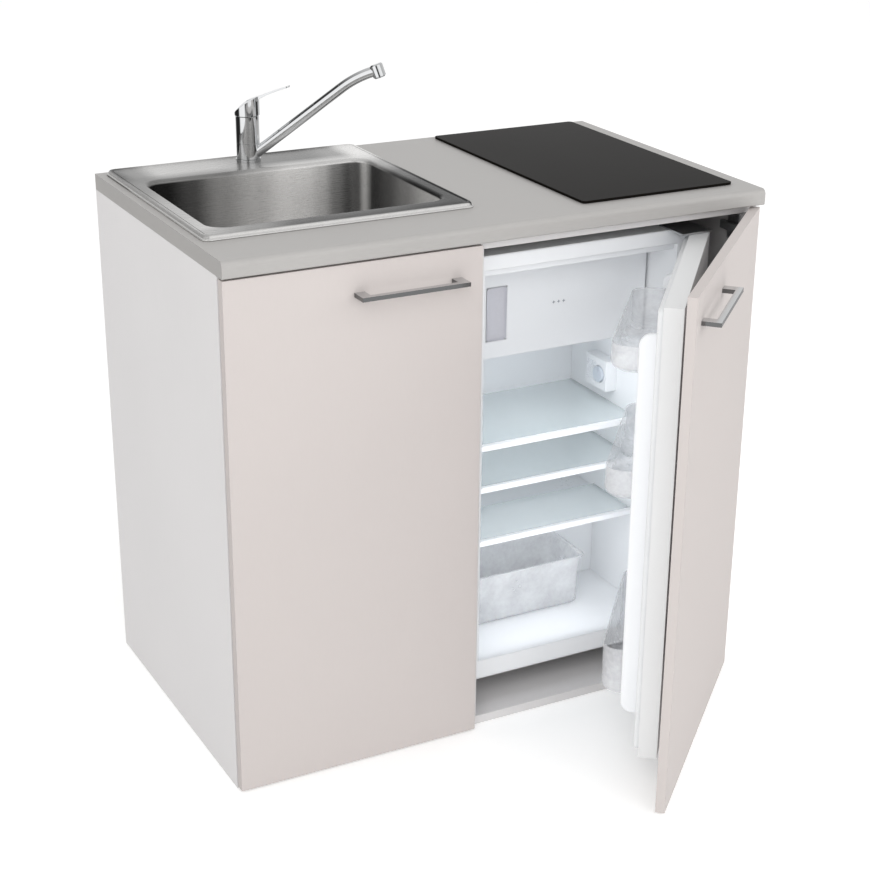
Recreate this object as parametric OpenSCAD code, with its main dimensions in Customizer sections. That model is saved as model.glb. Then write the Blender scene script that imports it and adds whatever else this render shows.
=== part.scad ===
// Kitchenette unit: a sink cupboard and a built-in refrigerator under one worktop,
// with a lever tap and a glass-topped hob.
// Millimetres. X runs to the right, Y to the wall behind, Z up.
// The origin is the middle of the footprint, on the floor.
// The right-hand front and the refrigerator door stand open, as in the usual display pose.

/* [Cabinet] */
// Width of the whole unit
unit_w = 1000; // [960:5:1100]
// Depth of the worktop, which covers the unit from front to back
unit_d = 600; // [590:5:650]
// Height of the worktop's surface above the floor
unit_h = 928; // [915:1:980]
// Thickness of the carcass boards
board_t = 16; // [15:0.5:19]
// Thickness of the worktop
worktop_t = 28; // [24:1:40]
// Radius of the rounded front edge of the worktop
worktop_r = 9; // [3:0.5:12]
// How far the worktop reaches over the carcass at the front
overhang = 23; // [21:0.5:30]
// Clear width of the sink cupboard
sink_bay_w = 427; // [420:1:440]
// Thickness of the back panel
back_t = 3; // [2.5:0.5:5]
// Distance from the back of the unit to the back panel
back_inset = 12; // [10:0.5:16]
// Depth of the grooves that hold the back panel
groove = 6; // [4:0.5:8]
// Depth of the flat front rail over the sink cupboard
rail_d = 80; // [50:1:88]
// Depth of the narrower front rail over the refrigerator
fridge_rail_d = 40; // [30:1:50]
// Height of the upright rail at the back
back_rail_h = 80; // [60:1:100]
// Diameter of the wooden dowels
dowel_d = 8; // [6:0.5:8]
// Length of the wooden dowels
dowel_l = 26; // [20:1:28]
// Diameter of the wall-fixing holes in the back rail
fixing_d = 8; // [6:0.5:10]
// Distance between the wall-fixing holes
fixing_pitch = 300; // [200:5:360]

/* [Fronts] */
// Thickness of the door boards
door_t = 16; // [15:0.5:19]
// Gap between the carcass and the back of a closed door
door_gap = 1.5; // [1.4:0.1:2.5]
// Gap between a door's edge and the outer side of the unit
side_reveal = 1.5; // [1:0.1:2]
// Gap between the two fronts
middle_gap = 2; // [1.6:0.1:4]
// Gap between a door and the worktop
top_reveal = 4; // [3:0.5:8]
// Gap between a door and the floor
bottom_reveal = 3; // [2:0.5:8]
// Opening angle of the right-hand front as it is stored
panel_open = 43.8; // [20:0.1:60]
// Hinge axis of a door, ahead of its front face
axis_ahead = 5.5; // [4:0.1:8]
// Hinge axis of a door, in from the side of the unit
axis_in = 3.2; // [2:0.1:5]
// Diameter of a concealed hinge's cup
cup_d = 35; // [26:0.5:35]
// Depth of a concealed hinge's cup
cup_depth = 11.5; // [8:0.1:12]
// Distance from the door's edge to the middle of the cup
cup_edge = 22.5; // [21:0.5:24]
// Distance from a door's lower and upper edge to its hinges
hinge_end = 46; // [40:1:150]
// Length of a hinge's arm behind the carcass edge
arm_l = 62; // [50:1:70]

/* [Handles] */
// Length of a handle's bar
handle_l = 190; // [180:1:240]
// Width of a handle's feet, along the bar
handle_foot = 18; // [10:1:24]
// Height of the bar, up and down
handle_w = 7; // [6:0.5:14]
// Depth of the bar
handle_t = 10; // [3:0.5:12]
// Distance from the door to the outer face of the bar
handle_reach = 31; // [26:0.5:40]
// Height of the handles below the top edge of the doors
handle_drop = 51; // [30:1:120]
// Distance from a door's free edge to the nearer end of the handle
handle_edge = 38; // [25:1:80]
// Diameter of the handle screws
handle_screw_d = 4; // [3:0.5:5]

/* [Refrigerator] */
// Width of the refrigerator
fridge_w = 450; // [440:1:470]
// Height of the refrigerator, without its feet
fridge_h = 794; // [780:1:800]
// Depth of the cabinet behind the door
fridge_d = 371; // [360:1:420]
// Height of the feet
foot_h = 46; // [40:1:50]
// Gap between the partition and the refrigerator
fridge_gap = 4; // [3.5:0.5:8]
// Gap between the closed front and the refrigerator's door
drag_gap = 5.5; // [5:0.1:7]
// Thickness of the right-hand and back walls of the refrigerator
fridge_wall = 42; // [38:1:46]
// Thickness of the left-hand wall of the refrigerator
wall_left = 25; // [22:1:40]
// Thickness of the top wall of the refrigerator
fridge_top = 39; // [34:1:46]
// Thickness of the refrigerator's floor
fridge_floor = 36; // [32:1:44]
// Thickness of the steel skins
skin_t = 1.2; // [0.8:0.1:1.6]
// Thickness of the plastic linings
liner_t = 2; // [1.5:0.1:2.5]
// Depth of the compressor step inside, measured at the floor
hump_d = 100; // [90:1:110]
// Height of the compressor step above the inner floor
hump_h = 180; // [165:1:183]
// Thickness of the refrigerator's door
fdoor_t = 32; // [28:0.5:36]
// Thickness of the door seal
gasket_t = 9.5; // [7:0.1:9.6]
// Gap between the seal and the cabinet when the door is shut
gasket_gap = 0.5; // [0.4:0.1:1]
// Opening angle of the refrigerator's door as it is stored
fdoor_open = 49.8; // [22:0.1:65]
// Hinge axis of that door, in from its edge
fpivot_in = 10; // [9:0.5:14]
// Hinge axis of that door, behind its outer face
fpivot_back = 7; // [6:0.5:10]
// Diameter of the refrigerator's hinge pins
fpin_d = 7; // [5:0.5:8]
// Running clearance of a hinge pin in its bore, on the radius
pin_clear = 0.08; // [0.05:0.01:0.1]

/* [Refrigerator inside] */
// Height of the freezer compartment's floor above the inner floor
freezer_z = 541; // [530:1:560]
// Depth of the freezer compartment
freezer_d = 230; // [200:1:232]
// Wall of the freezer compartment
freezer_wall = 3; // [2:0.5:4]
// Thickness of the freezer flap
flap_t = 10; // [8:0.5:12]
// Height of the freezer flap
flap_h = 152; // [140:1:158]
// Heights of the three glass shelves' tops above the inner floor
shelf_1 = 375; // [350:1:420]
// Height of the second shelf
shelf_2 = 294; // [270:1:320]
// Height of the lowest shelf, which covers the salad drawer
shelf_3 = 188; // [180:1:200]
// Thickness of the glass shelves
shelf_t = 4; // [3:0.5:5]
// Distance from the cabinet's front to the front of the shelves
shelf_back = 91; // [88:1:110]
// Height of the white strip along the front of a shelf
trim_h = 10; // [9:0.5:16]
// Width of the salad drawer
drawer_w = 277; // [230:1:300]
// Height of the salad drawer
drawer_h = 105; // [80:1:125]
// Wall of the salad drawer
drawer_wall = 2.5; // [2:0.5:4]
// Length of the lamp and thermostat box
control_l = 70; // [62:1:90]
// Height of the lamp and thermostat box
control_h = 60; // [50:1:80]
// How far that box stands out of the wall
control_out = 24; // [20:1:30]
// Diameter of the thermostat's knob
dial_d = 30; // [24:1:36]

/* [Refrigerator door inside] */
// How far the door lining's ribs stand out
dike_out = 40; // [30:1:44]
// Distance from the door's edges to the ribs
dike_in = 52; // [50:1:60]
// Thickness of these ribs
dike_t = 12; // [10:0.5:16]
// How far the racks reach from the door
rack_d = 88; // [75:1:89]
// How far the bottle rack at the bottom reaches from the door
bottle_rack_d = 78; // [70:1:89]
// Wall of the racks
rack_wall = 2.5; // [2:0.5:3]
// Height of the upper rack's floor above the inner floor
rack_1_z = 618; // [570:1:630]
// Height of the middle rack's floor above the inner floor
rack_2_z = 399; // [340:1:420]
// Height of the upper rack
rack_1_h = 50; // [40:1:60]
// Height of the middle rack
rack_2_h = 56; // [40:1:70]
// Height of the bottle rack
rack_3_h = 92; // [80:1:100]

/* [Sink] */
// Width and depth of the sink's rim
sink_w = 478; // [460:1:479]
// Distance from the unit's left side to the rim
sink_left = 14; // [12:1:20]
// Distance from the back of the worktop to the rim
sink_back = 12; // [10:1:30]
// Height of the rim above the worktop
rim_h = 8; // [4:0.5:12]
// Sheet thickness of the sink
sheet_t = 1.2; // [1:0.1:1.6]
// Width of the bowl
bowl_w = 414; // [380:1:416]
// Depth of the bowl from front to back
bowl_l = 322; // [300:1:330]
// Depth of the bowl, downwards
bowl_h = 150; // [120:1:180]
// Corner radius of the bowl
bowl_r = 32; // [20:1:60]
// Width of the rim in front of the bowl
rim_front = 44; // [40:1:56]
// How far the worktop supports the rim all round
rim_rest = 14; // [10:1:16]
// Diameter of the drain hole
drain_d = 52; // [45:1:60]
// Diameter of the waste pipes
pipe_d = 40; // [32:1:40]
// Wall of the waste pipes
pipe_wall = 2; // [1.5:0.1:3]
// Height of the trap's outlet above the floor
outlet_z = 480; // [440:1:560]

/* [Tap] */
// Diameter of the tap's body
tap_d = 42; // [40:1:50]
// Height of the tap's body
tap_h = 81; // [75:1:110]
// Distance from the back of the rim to the tap's middle
tap_back = 44; // [36:1:50]
// Direction of the spout, turned from the right towards the front
spout_turn = 40; // [0:1:90]
// Distance from the tap's middle to the spout's outlet
spout_reach = 242; // [200:1:260]
// Height of the spout's outlet above the rim
spout_rise = 162; // [140:1:180]
// Diameter of the spout's tube
spout_d = 19; // [16:0.5:22]
// Length of the lever from the tap's middle
lever_l = 80; // [70:1:110]
// Diameter of the tap's threaded shank
shank_d = 32; // [28:0.5:34]
// Radius of each water inlet in the shank
inlet_r = 4.5; // [3:0.1:5]

/* [Hob] */
// Width of the hob's glass
hob_w = 304; // [280:1:310]
// Depth of the hob's glass
hob_l = 538; // [500:1:545]
// Thickness of the glass
hob_t = 4; // [3:0.5:6]
// Distance from the unit's right side to the glass
hob_right = 34; // [25:1:60]
// Distance from the back of the worktop to the glass
hob_back = 12; // [10:1:40]
// Height of the hob's case below the worktop's surface
hob_case_h = 50; // [40:1:54]
// Width and length that the glass reaches over the case
hob_lip = 16; // [12:1:20]
// Diameter of the front heating element
heater_d = 180; // [140:1:190]
// Diameter of the rear heating element
rear_heater_d = 145; // [120:1:160]

/* [Hidden] */
$fn = 48;

// cabinet
half_w = unit_w / 2;
back_y = unit_d / 2;
front_y = -unit_d / 2;
carcass_y = front_y + overhang;
carcass_h = unit_h - worktop_t;
inner_w = half_w - board_t;
part_x0 = -inner_w + sink_bay_w;
part_x1 = part_x0 + board_t;
panel_y1 = back_y - back_inset;
panel_y0 = panel_y1 - back_t;
slip = 0.1;

// fronts
door_y1 = carcass_y - door_gap;
door_y0 = door_y1 - door_t;
door_z0 = bottom_reveal;
door_z1 = carcass_h - top_reveal;
split_x = (part_x0 + part_x1) / 2 - 2.5;
left_x0 = -half_w + side_reveal;
left_x1 = split_x - middle_gap / 2;
right_x0 = split_x + middle_gap / 2;
right_x1 = half_w - side_reveal;
axis_y = door_y0 - axis_ahead;
axis_x = half_w - axis_in;
hinge_zs = [door_z0 + hinge_end, door_z1 - hinge_end];
cup_wall = 1;
arm_w = 14;
plate_t = 4;

// refrigerator cabinet
fx0 = part_x1 + fridge_gap;
fx1 = fx0 + fridge_w;
fz0 = board_t + foot_h;
fz1 = fz0 + fridge_h;
fdoor_y0 = door_y1 + drag_gap;
fdoor_y1 = fdoor_y0 + fdoor_t;
fy0 = fdoor_y1 + gasket_t + gasket_gap;
fy1 = fy0 + fridge_d;
in_x0 = fx0 + wall_left;
in_x1 = fx1 - fridge_wall;
in_y1 = fy1 - fridge_wall + 2;
in_z0 = fz0 + fridge_floor;
in_z1 = fz1 - fridge_top;
hump_y = in_y1 - hump_d;
hump_z = in_z0 + hump_h;
bay_y = hump_y + 45;
bay_z = hump_z - 42;
fpivot = [fx1 - fpivot_in, fdoor_y0 + fpivot_back];

// refrigerator inside
side_play = 2.5;
fz_box = in_z0 + freezer_z;
box_y0 = in_y1 - freezer_d;
box_y1 = in_y1 - 4;
flap_y1 = box_y0 - 5;
flap_y0 = flap_y1 - flap_t;
flap_z0 = fz_box + 1.5;
flap_z1 = flap_z0 + flap_h;
flap_pivot = [in_x1 - side_play - 8.5, (flap_y0 + flap_y1) / 2];
flap_pin_d = 5;
shelf_y0 = fy0 + shelf_back;
shelf_tops = [in_z0 + shelf_1, in_z0 + shelf_2, in_z0 + shelf_3];
shelf_ends = [in_y1 - 4, in_y1 - 4, hump_y - 2];
rib_w = 6;
drawer_y0 = shelf_y0 + 20;
drawer_y1 = hump_y - 4;
drawer_x0 = in_x0 + 10;
control_y0 = in_y1 - 90 - control_l;
control_z0 = in_z0 + shelf_1 + 26;
dial = [control_y0 + control_l * 0.32, control_z0 + control_h / 2];

// refrigerator door inside
dike_x0 = fx0 + dike_in;
dike_x1 = fx1 - dike_in;
dike_z0 = in_z0 + 17;
dike_z1 = in_z1 - 24;
rack_x0 = dike_x0 + dike_t + 1.5;
rack_x1 = dike_x1 - dike_t - 1.5;
rack_zs = [in_z0 + rack_1_z, in_z0 + rack_2_z, in_z0 + 36];

// sliding link between the two doors
rail_t = 2.6;
link_z = (fz0 + fz1) / 2;
link_x = fx0 + 97;
travel = [80, 30];

// sink
sx0 = -half_w + sink_left;
sx1 = sx0 + sink_w;
sy1 = back_y - sink_back;
sy0 = sy1 - sink_w;
rim_z = unit_h + rim_h;
bowl_x = (sx0 + sx1) / 2;
bowl_y0 = sy0 + rim_front;
bowl_y = bowl_y0 + bowl_l / 2;
bowl_z = rim_z - bowl_h;
drain = [bowl_x, bowl_y];
tap = [bowl_x + 13, sy1 - tap_back];
tap_hole_d = shank_d + 3;

// tap
base_h = 5;
collar_h = 28;
tap_top = rim_z + tap_h;
core_d = 32;

// hob
hx1 = half_w - hob_right;
hx0 = hx1 - hob_w;
hy1 = back_y - hob_back;
hy0 = hy1 - hob_l;
hob_z = unit_h + 0.8;
case_x0 = hx0 + hob_lip;
case_x1 = hx1 - hob_lip;
case_y0 = hy0 + hob_lip + 18;
case_y1 = hy1 - hob_lip - 18;
case_z = unit_h - hob_case_h;

// colours
white_board = [0.86, 0.85, 0.84];
front_white = [0.87, 0.85, 0.83];
top_grey = [0.75, 0.74, 0.73];
steel = [0.62, 0.62, 0.63];
chrome = [0.8, 0.81, 0.83];
fridge_white = [0.94, 0.95, 0.97];
clear_plastic = [0.85, 0.9, 0.94];
black_glass = [0.07, 0.07, 0.07];
wood_pale = [0.82, 0.68, 0.46];
pipe_white = [0.9, 0.9, 0.88];
dark_plastic = [0.2, 0.21, 0.22];

// A box between two corners.
module block(a, b) translate(a) cube(b - a);

// A flat rectangle between two corners, with rounded corners.
module round_rect(a, b, r) {
  translate([a[0] + r, a[1]]) square([b[0] - a[0] - 2 * r, b[1] - a[1]]);
  translate([a[0], a[1] + r]) square([b[0] - a[0], b[1] - a[1] - 2 * r]);
  for (x = [a[0] + r, b[0] - r], y = [a[1] + r, b[1] - r]) translate([x, y]) circle(r);
}

// An upright slab with rounded corners between two corners.
module slab(a, b, r)
  translate([0, 0, a[2]]) linear_extrude(b[2] - a[2]) round_rect([a[0], a[1]], [b[0], b[1]], r);

// Rods along one axis, from a point.
module rod_x(p, l, d) translate(p) rotate([0, 90, 0]) cylinder(h = l, d = d);
module rod_y(p, l, d) translate(p) rotate([-90, 0, 0]) cylinder(h = l, d = d);
module rod_z(p, l, d) translate(p) cylinder(h = l, d = d);

// Turns what follows about an upright axis.
module turned(p, a) translate([p[0], p[1], 0]) rotate([0, 0, a]) translate([-p[0], -p[1], 0]) children();

// The stored pose of the right-hand front and of the refrigerator's door.
module with_front() turned([axis_x, axis_y], panel_open) children();
module with_fdoor() turned(fpivot, fdoor_open) children();

// ---- Carcass ----

bottom_dowel_ys = [carcass_y + 40, 0, panel_y0 - 40];
rail_dowel_ys = [carcass_y + 12, carcass_y + fridge_rail_d - 12];

// Dowels along X, through the joint at x between a side and a board.
module side_dowels(grow) {
  for (side = [-1, 1]) {
    for (y = bottom_dowel_ys)
      rod_x([side * inner_w - dowel_l / 2, y, board_t / 2], dowel_l, dowel_d + grow);
    for (y = rail_dowel_ys)
      rod_x([side * inner_w - dowel_l / 2, y, carcass_h - board_t / 2], dowel_l, dowel_d + grow);
  }
}

// Dowels along Z, between the bottom board and the partition.
module partition_dowels(grow)
  for (y = bottom_dowel_ys)
    rod_z([(part_x0 + part_x1) / 2, y, board_t - dowel_l / 2], dowel_l, dowel_d + grow);

module dowels() color(wood_pale) {
  difference() {
    side_dowels(0);
    side_blank_limit();
  }
  partition_dowels(0);
}

// Keeps a dowel inside the side board's thickness.
module side_blank_limit() for (side = [-1, 1])
  translate([side * (half_w + 20 - 3), 0, carcass_h / 2]) cube([40, unit_d, unit_h + 40], center = true);

module back_panel_blank(grow)
  block([-inner_w - groove - grow, panel_y0 - grow, board_t - groove - grow],
        [inner_w + groove + grow, panel_y1 + grow, carcass_h + grow - slip]);

module carcass_side(side) color(white_board) difference() {
  block([side < 0 ? -half_w : inner_w, carcass_y, 0], [side < 0 ? -inner_w : half_w, back_y, carcass_h]);
  back_panel_blank(slip);
  difference() {
    side_dowels(2 * slip);
    side_blank_limit();
  }
}
module left_side() carcass_side(-1);
module right_side() carcass_side(1);

// The partition, notched where the bowl hangs beside it.
notch = 18;
module partition() color(white_board) difference() {
  block([part_x0, carcass_y, board_t], [part_x1, panel_y0 - slip, carcass_h]);
  partition_dowels(2 * slip);
  block([part_x0 - 1, bowl_y0 - notch, bowl_z - notch],
        [part_x1 + 1, bowl_y0 + bowl_l + notch, carcass_h + 1]);
}

module bottom_board() color(white_board) difference() {
  block([-inner_w, carcass_y, 0], [inner_w, back_y, board_t]);
  back_panel_blank(slip);
  side_dowels(2 * slip);
  partition_dowels(2 * slip);
}

module front_rails() color(white_board) difference() {
  union() {
    block([-inner_w, carcass_y, carcass_h - board_t], [part_x0, carcass_y + rail_d, carcass_h]);
    block([part_x1, carcass_y, carcass_h - board_t], [inner_w, carcass_y + fridge_rail_d, carcass_h]);
  }
  side_dowels(2 * slip);
}

fixing_x = (-inner_w + part_x0) / 2;
fixing_z = carcass_h - back_rail_h / 2;
module fixing_holes(y0, y1)
  for (s = [-1, 1]) rod_y([fixing_x + s * fixing_pitch / 2, y0 - 1, fixing_z], y1 - y0 + 2, fixing_d);

module back_rails() color(white_board) difference() {
  union() {
    block([-inner_w, panel_y0 - slip - board_t, carcass_h - back_rail_h],
          [part_x0, panel_y0 - slip, carcass_h]);
    block([part_x1, panel_y0 - slip - board_t, carcass_h - back_rail_h],
          [inner_w, panel_y0 - slip, carcass_h]);
  }
  fixing_holes(panel_y0 - slip - board_t, panel_y0);
}

// The back panel, with an opening behind the sink for the pipes.
service = [[-inner_w + 90, outlet_z - 160], [part_x0 - 90, outlet_z + 140]];
module back_panel() color([0.9, 0.9, 0.88]) difference() {
  back_panel_blank(0);
  block([service[0][0], panel_y0 - 1, service[0][1]], [service[1][0], panel_y1 + 1, service[1][1]]);
  fixing_holes(panel_y0, panel_y1);
}

// The worktop: a board with rounded front edges and two cut-outs.
module worktop_profile() {
  r = worktop_r;
  low = 3;
  translate([front_y + r, carcass_h]) square([unit_d - r, worktop_t]);
  translate([front_y, carcass_h + low]) square([unit_d, worktop_t - low - r]);
  translate([front_y + low, carcass_h]) square([unit_d - low, worktop_t - r]);
  translate([front_y + r, unit_h - r]) circle(r);
  translate([front_y + low, carcass_h + low]) circle(low);
}
module worktop() color(top_grey) difference() {
  translate([-half_w, 0, 0]) rotate([90, 0, 90]) linear_extrude(unit_w) worktop_profile();
  slab([sx0 + rim_rest, sy0 + rim_rest, carcass_h - 1], [sx1 - rim_rest, sy1 - rim_rest, unit_h + 1], 12);
  slab([case_x0 - cut_gap, case_y0 - cut_gap, carcass_h - 1],
       [case_x1 + cut_gap, case_y1 + cut_gap, unit_h + 1], 6);
}

// ---- Sink and waste ----

drain_flange_d = drain_d + 24;
module sink_bowl() color(steel) difference() {
  union() {
    slab([sx0, sy0, unit_h], [sx1, sy1, rim_z], 14);
    slab([bowl_x - bowl_w / 2 - sheet_t, bowl_y0 - sheet_t, bowl_z],
         [bowl_x + bowl_w / 2 + sheet_t, bowl_y0 + bowl_l + sheet_t, rim_z], bowl_r + sheet_t);
  }
  difference() {
    slab([sx0 + sheet_t, sy0 + sheet_t, unit_h - 1], [sx1 - sheet_t, sy1 - sheet_t, rim_z - sheet_t], 13);
    slab([bowl_x - bowl_w / 2 - sheet_t, bowl_y0 - sheet_t, unit_h - 2],
         [bowl_x + bowl_w / 2 + sheet_t, bowl_y0 + bowl_l + sheet_t, rim_z], bowl_r + sheet_t);
  }
  slab([bowl_x - bowl_w / 2, bowl_y0, bowl_z + sheet_t],
       [bowl_x + bowl_w / 2, bowl_y0 + bowl_l, rim_z + 1], bowl_r);
  rod_z([drain[0], drain[1], bowl_z - 1], sheet_t + 2, drain_d);
  rod_z([tap[0], tap[1], rim_z - sheet_t - 1], sheet_t + 2, tap_hole_d);
}

// Four clamps that hold the rim down on the worktop: a bent strip and its screw each.
clip_z = carcass_h - 3;
module sink_clip(p, a) translate([p[0], p[1], 0]) rotate([0, 0, a]) {
  block([-1.5, -7, clip_z], [0, 7, rim_z - sheet_t]);
  block([-14, -7, clip_z - 2], [0, 7, clip_z]);
  rod_z([-8, 0, clip_z - 12], carcass_h - clip_z + 12, 6);
}
module sink_clips() color(steel) {
  for (y = [sy0 + 120, sy1 - 120]) {
    sink_clip([sx0 + rim_rest + 4, y], 0);
    sink_clip([sx1 - rim_rest - 4, y], 180);
  }
}

// The waste: a dished ring in the drain hole and the threaded tube under it.
waste_h = 42;
waste_in_d = drain_d - 10;
module waste_flange() color(chrome) translate([drain[0], drain[1], bowl_z]) difference() {
  union() {
    translate([0, 0, sheet_t]) cylinder(h = 2.5, d = drain_flange_d);
    translate([0, 0, -waste_h]) cylinder(h = waste_h + sheet_t + 0.5, d = drain_d - 1);
    translate([0, 0, -7]) cylinder(h = 7, d = drain_d + 18);
  }
  translate([0, 0, -waste_h - 1]) cylinder(h = waste_h + 8, d = waste_in_d);
}

// The plug: a cap with a grip, lifted out of the waste.
module sink_plug() color(chrome) translate([drain[0], drain[1], bowl_z + sheet_t + 2.5]) {
  translate([0, 0, 0.4]) cylinder(h = 2.2, d = drain_flange_d - 10);
  translate([0, 0, -9]) cylinder(h = 9.5, d = waste_in_d - 1);
  translate([0, 0, 2.6]) cylinder(h = 10, d = 8);
  translate([0, 0, 12.6]) cylinder(h = 3, d = 16);
}

tail_top = bowl_z - waste_h;
bottle_d = 76;
bottle_top = outlet_z + 34;
bottle_h = 150;
spigot_d = pipe_d - 2;
module tail_pipe() color(pipe_white) difference() {
  union() {
    rod_z([drain[0], drain[1], bottle_top - 40], tail_top - bottle_top + 40, pipe_d);
    rod_z([drain[0], drain[1], tail_top - 2], 20, drain_d + 10);
    rod_z([drain[0], drain[1], tail_top - 14], 12, drain_d + 4);
  }
  rod_z([drain[0], drain[1], bottle_top - 41], tail_top - bottle_top + 70, pipe_d - 2 * pipe_wall);
  rod_z([drain[0], drain[1], tail_top - 0.2], 30, drain_d - 0.8);
}

// The bottle trap, with its two union nuts.
module bottle_trap() color(pipe_white) difference() {
  union() {
    rod_z([drain[0], drain[1], bottle_top - bottle_h], bottle_h, bottle_d);
    rod_z([drain[0], drain[1], bottle_top], 22, pipe_d + 16);
    rod_y([drain[0], drain[1], outlet_z], bottle_d / 2 + 32, pipe_d + 10);
    rod_y([drain[0], drain[1] + bottle_d / 2 + 12, outlet_z], 22, pipe_d + 18);
  }
  rod_z([drain[0], drain[1], bottle_top - bottle_h + 3], bottle_h - 6, bottle_d - 6);
  rod_z([drain[0], drain[1], bottle_top - 8], 40, pipe_d + 0.4);
  rod_y([drain[0], drain[1], outlet_z], bottle_d / 2 + 40, spigot_d + 0.4);
}

outlet_y0 = drain[1] + bottle_d / 2 + 4;
outlet_free_y = drain[1] + bottle_d / 2 + 35;
module outlet_pipe() color(pipe_white) difference() {
  union() {
    rod_y([drain[0], outlet_y0, outlet_z], outlet_free_y - outlet_y0 + 1, spigot_d);
    rod_y([drain[0], outlet_free_y, outlet_z], back_y - 2 - outlet_free_y, pipe_d);
  }
  rod_y([drain[0], outlet_y0 - 1, outlet_z], back_y - outlet_y0, pipe_d - 2 * pipe_wall);
}

// ---- Tap ----

module at_tap() translate([tap[0], tap[1], rim_z]) children();
module towards_spout() at_tap() rotate([0, 0, -spout_turn]) children();

// The foot, with the core that the spout turns on and the shank under the sink.
shank_l = 58;
module tap_base() color(chrome) at_tap() difference() {
  union() {
    cylinder(h = base_h, d = tap_d + 2);
    cylinder(h = base_h + collar_h + 8, d = core_d);
    translate([0, 0, -shank_l]) cylinder(h = shank_l + 1, d = shank_d);
  }
  for (s = [-1, 1]) translate([0, s * 7, -shank_l - 1]) cylinder(h = shank_l + base_h + 30, r = inlet_r);
}

// The washer and the nut that pull the tap down on the rim, right under its sheet.
washer_t = 6;
nut_h = 8;
module tap_nut() color([0.75, 0.62, 0.35]) at_tap() difference() {
  union() {
    translate([0, 0, -sheet_t - washer_t]) cylinder(h = washer_t, d = tap_d + 10);
    translate([0, 0, -sheet_t - washer_t - nut_h]) cylinder(h = nut_h, d = tap_d + 6, $fn = 6);
  }
  translate([0, 0, -sheet_t - washer_t - nut_h - 1]) cylinder(h = washer_t + nut_h + 2, d = shank_d + 0.4);
}

// The upper body, fixed on the core above the spout's collar.
body_z0 = base_h + collar_h + 1;
module tap_body() color(chrome) at_tap() difference() {
  translate([0, 0, body_z0]) cylinder(h = tap_h - body_z0, d = tap_d);
  translate([0, 0, body_z0 - 1]) cylinder(h = 8.2, d = core_d + 0.2);
  translate([0, 0, body_z0 + 12]) cylinder(h = tap_h, d = tap_d - 8);
}

module tap_cartridge() color([0.85, 0.85, 0.82]) at_tap() {
  translate([0, 0, body_z0 + 12]) cylinder(h = tap_h - body_z0 - 13, d = tap_d - 9);
  translate([0, 0, tap_h - 2]) cylinder(h = 3, d = 9);
}

// The spout: a collar round the core and a tube that rises straight, bends over and ends
// in a nozzle. Its geometry lies in one upright plane: [distance from the tap's middle, height].
// The bend is a little thinner than the straight tube, which runs a little way into it.
foot = [14, 14];
bend_d = spout_d - 0.2;
bend_r = 200;
end_slope = 17;
head_h = 22;
head_d = spout_d + 4;
head_tilt = 20;
head_mid = [spout_reach - head_h / 2 * sin(head_tilt), spout_rise + head_h / 2 * cos(head_tilt)];
run = head_mid - foot;
bend_a = run[0] + bend_r * sin(end_slope);
bend_b = bend_r * cos(end_slope) - run[1];
rise_a = asin(bend_r / norm([bend_a, bend_b])) - atan2(bend_b, bend_a);
straight_l = (run[0] - bend_r * (sin(rise_a) - sin(end_slope))) / cos(rise_a);
bend_c = foot + straight_l * [cos(rise_a), sin(rise_a)] + bend_r * [sin(rise_a), -cos(rise_a)];
module at_head()
  translate([head_mid[0], 0, head_mid[1]]) rotate([0, -head_tilt, 0]) children();
module tap_spout() color(chrome) towards_spout() difference() {
  union() {
    translate([0, 0, base_h + 0.5]) cylinder(h = collar_h, d = tap_d);
    translate([foot[0], 0, foot[1]]) rotate([0, 90 - rise_a, 0]) cylinder(h = straight_l + 0.5, d = spout_d);
    translate([bend_c[0], 0, bend_c[1]]) rotate([90, 0, 0]) rotate([0, 0, 90 + end_slope])
      rotate_extrude(angle = rise_a - end_slope) translate([bend_r, 0]) circle(d = bend_d);
    at_head() translate([0, 0, -head_h / 2]) cylinder(h = head_h - 2, d = head_d);
    at_head() translate([0, 0, head_h / 2 - 2]) cylinder(h = 2, d1 = head_d, d2 = head_d - 4);
  }
  translate([0, 0, -1]) cylinder(h = tap_h, d = core_d + 0.2);
  at_head() translate([0, 0, -head_h / 2 - 1]) cylinder(h = 12, d = head_d - 4);
}

module tap_aerator() color(steel) towards_spout() at_head() difference() {
  translate([0, 0, -head_h / 2 - 2]) cylinder(h = 12, d = head_d - 4.2);
  translate([0, 0, -head_h / 2 - 3]) cylinder(h = 4, d = head_d - 8);
}

// The lever turns on the hub and tilts about an axis at the back of its domed cap.
hub_z = tap_h + 1;
module tap_hub() color([0.7, 0.7, 0.68]) towards_spout() translate([0, 0, hub_z]) cylinder(h = 9, d = 18);

cap_gap = 1.5;
cap_d = tap_d + 3;
cap_z = tap_h + cap_gap;
dome = [35, -32, 67];
module lever_blade() {
  side = [[4, 29], [15, 33.2], [24, 36.2], [40, 42.8], [58, 49.6], [lever_l, 57.3],
          [lever_l, 54.3], [58, 46.4], [40, 39], [27, 32], [20, 27], [4, 24]];
  intersection() {
    translate([0, 20, tap_h]) rotate([90, 0, 0]) linear_extrude(40) polygon(side);
    translate([0, 0, tap_h]) linear_extrude(90) union() {
      polygon([[3, -13], [24, -9], [50, -6.5], [lever_l - 6, -6], [lever_l - 6, 6], [50, 6.5], [24, 9], [3, 13]]);
      translate([lever_l - 6, 0]) circle(d = 12);
    }
  }
}
module tap_lever() color(chrome) towards_spout() difference() {
  union() {
    intersection() {
      translate([0, 0, cap_z]) cylinder(h = 50, d = cap_d);
      translate([dome[0], 0, cap_z + dome[1]]) sphere(r = dome[2], $fn = 96);
    }
    lever_blade();
  }
  translate([0, 0, tap_h - 1]) cylinder(h = 7.5, d = tap_d - 6);
  translate([0, 0, tap_h - 1]) cylinder(h = 16, d = 22);
}

// ---- Hob ----

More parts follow.
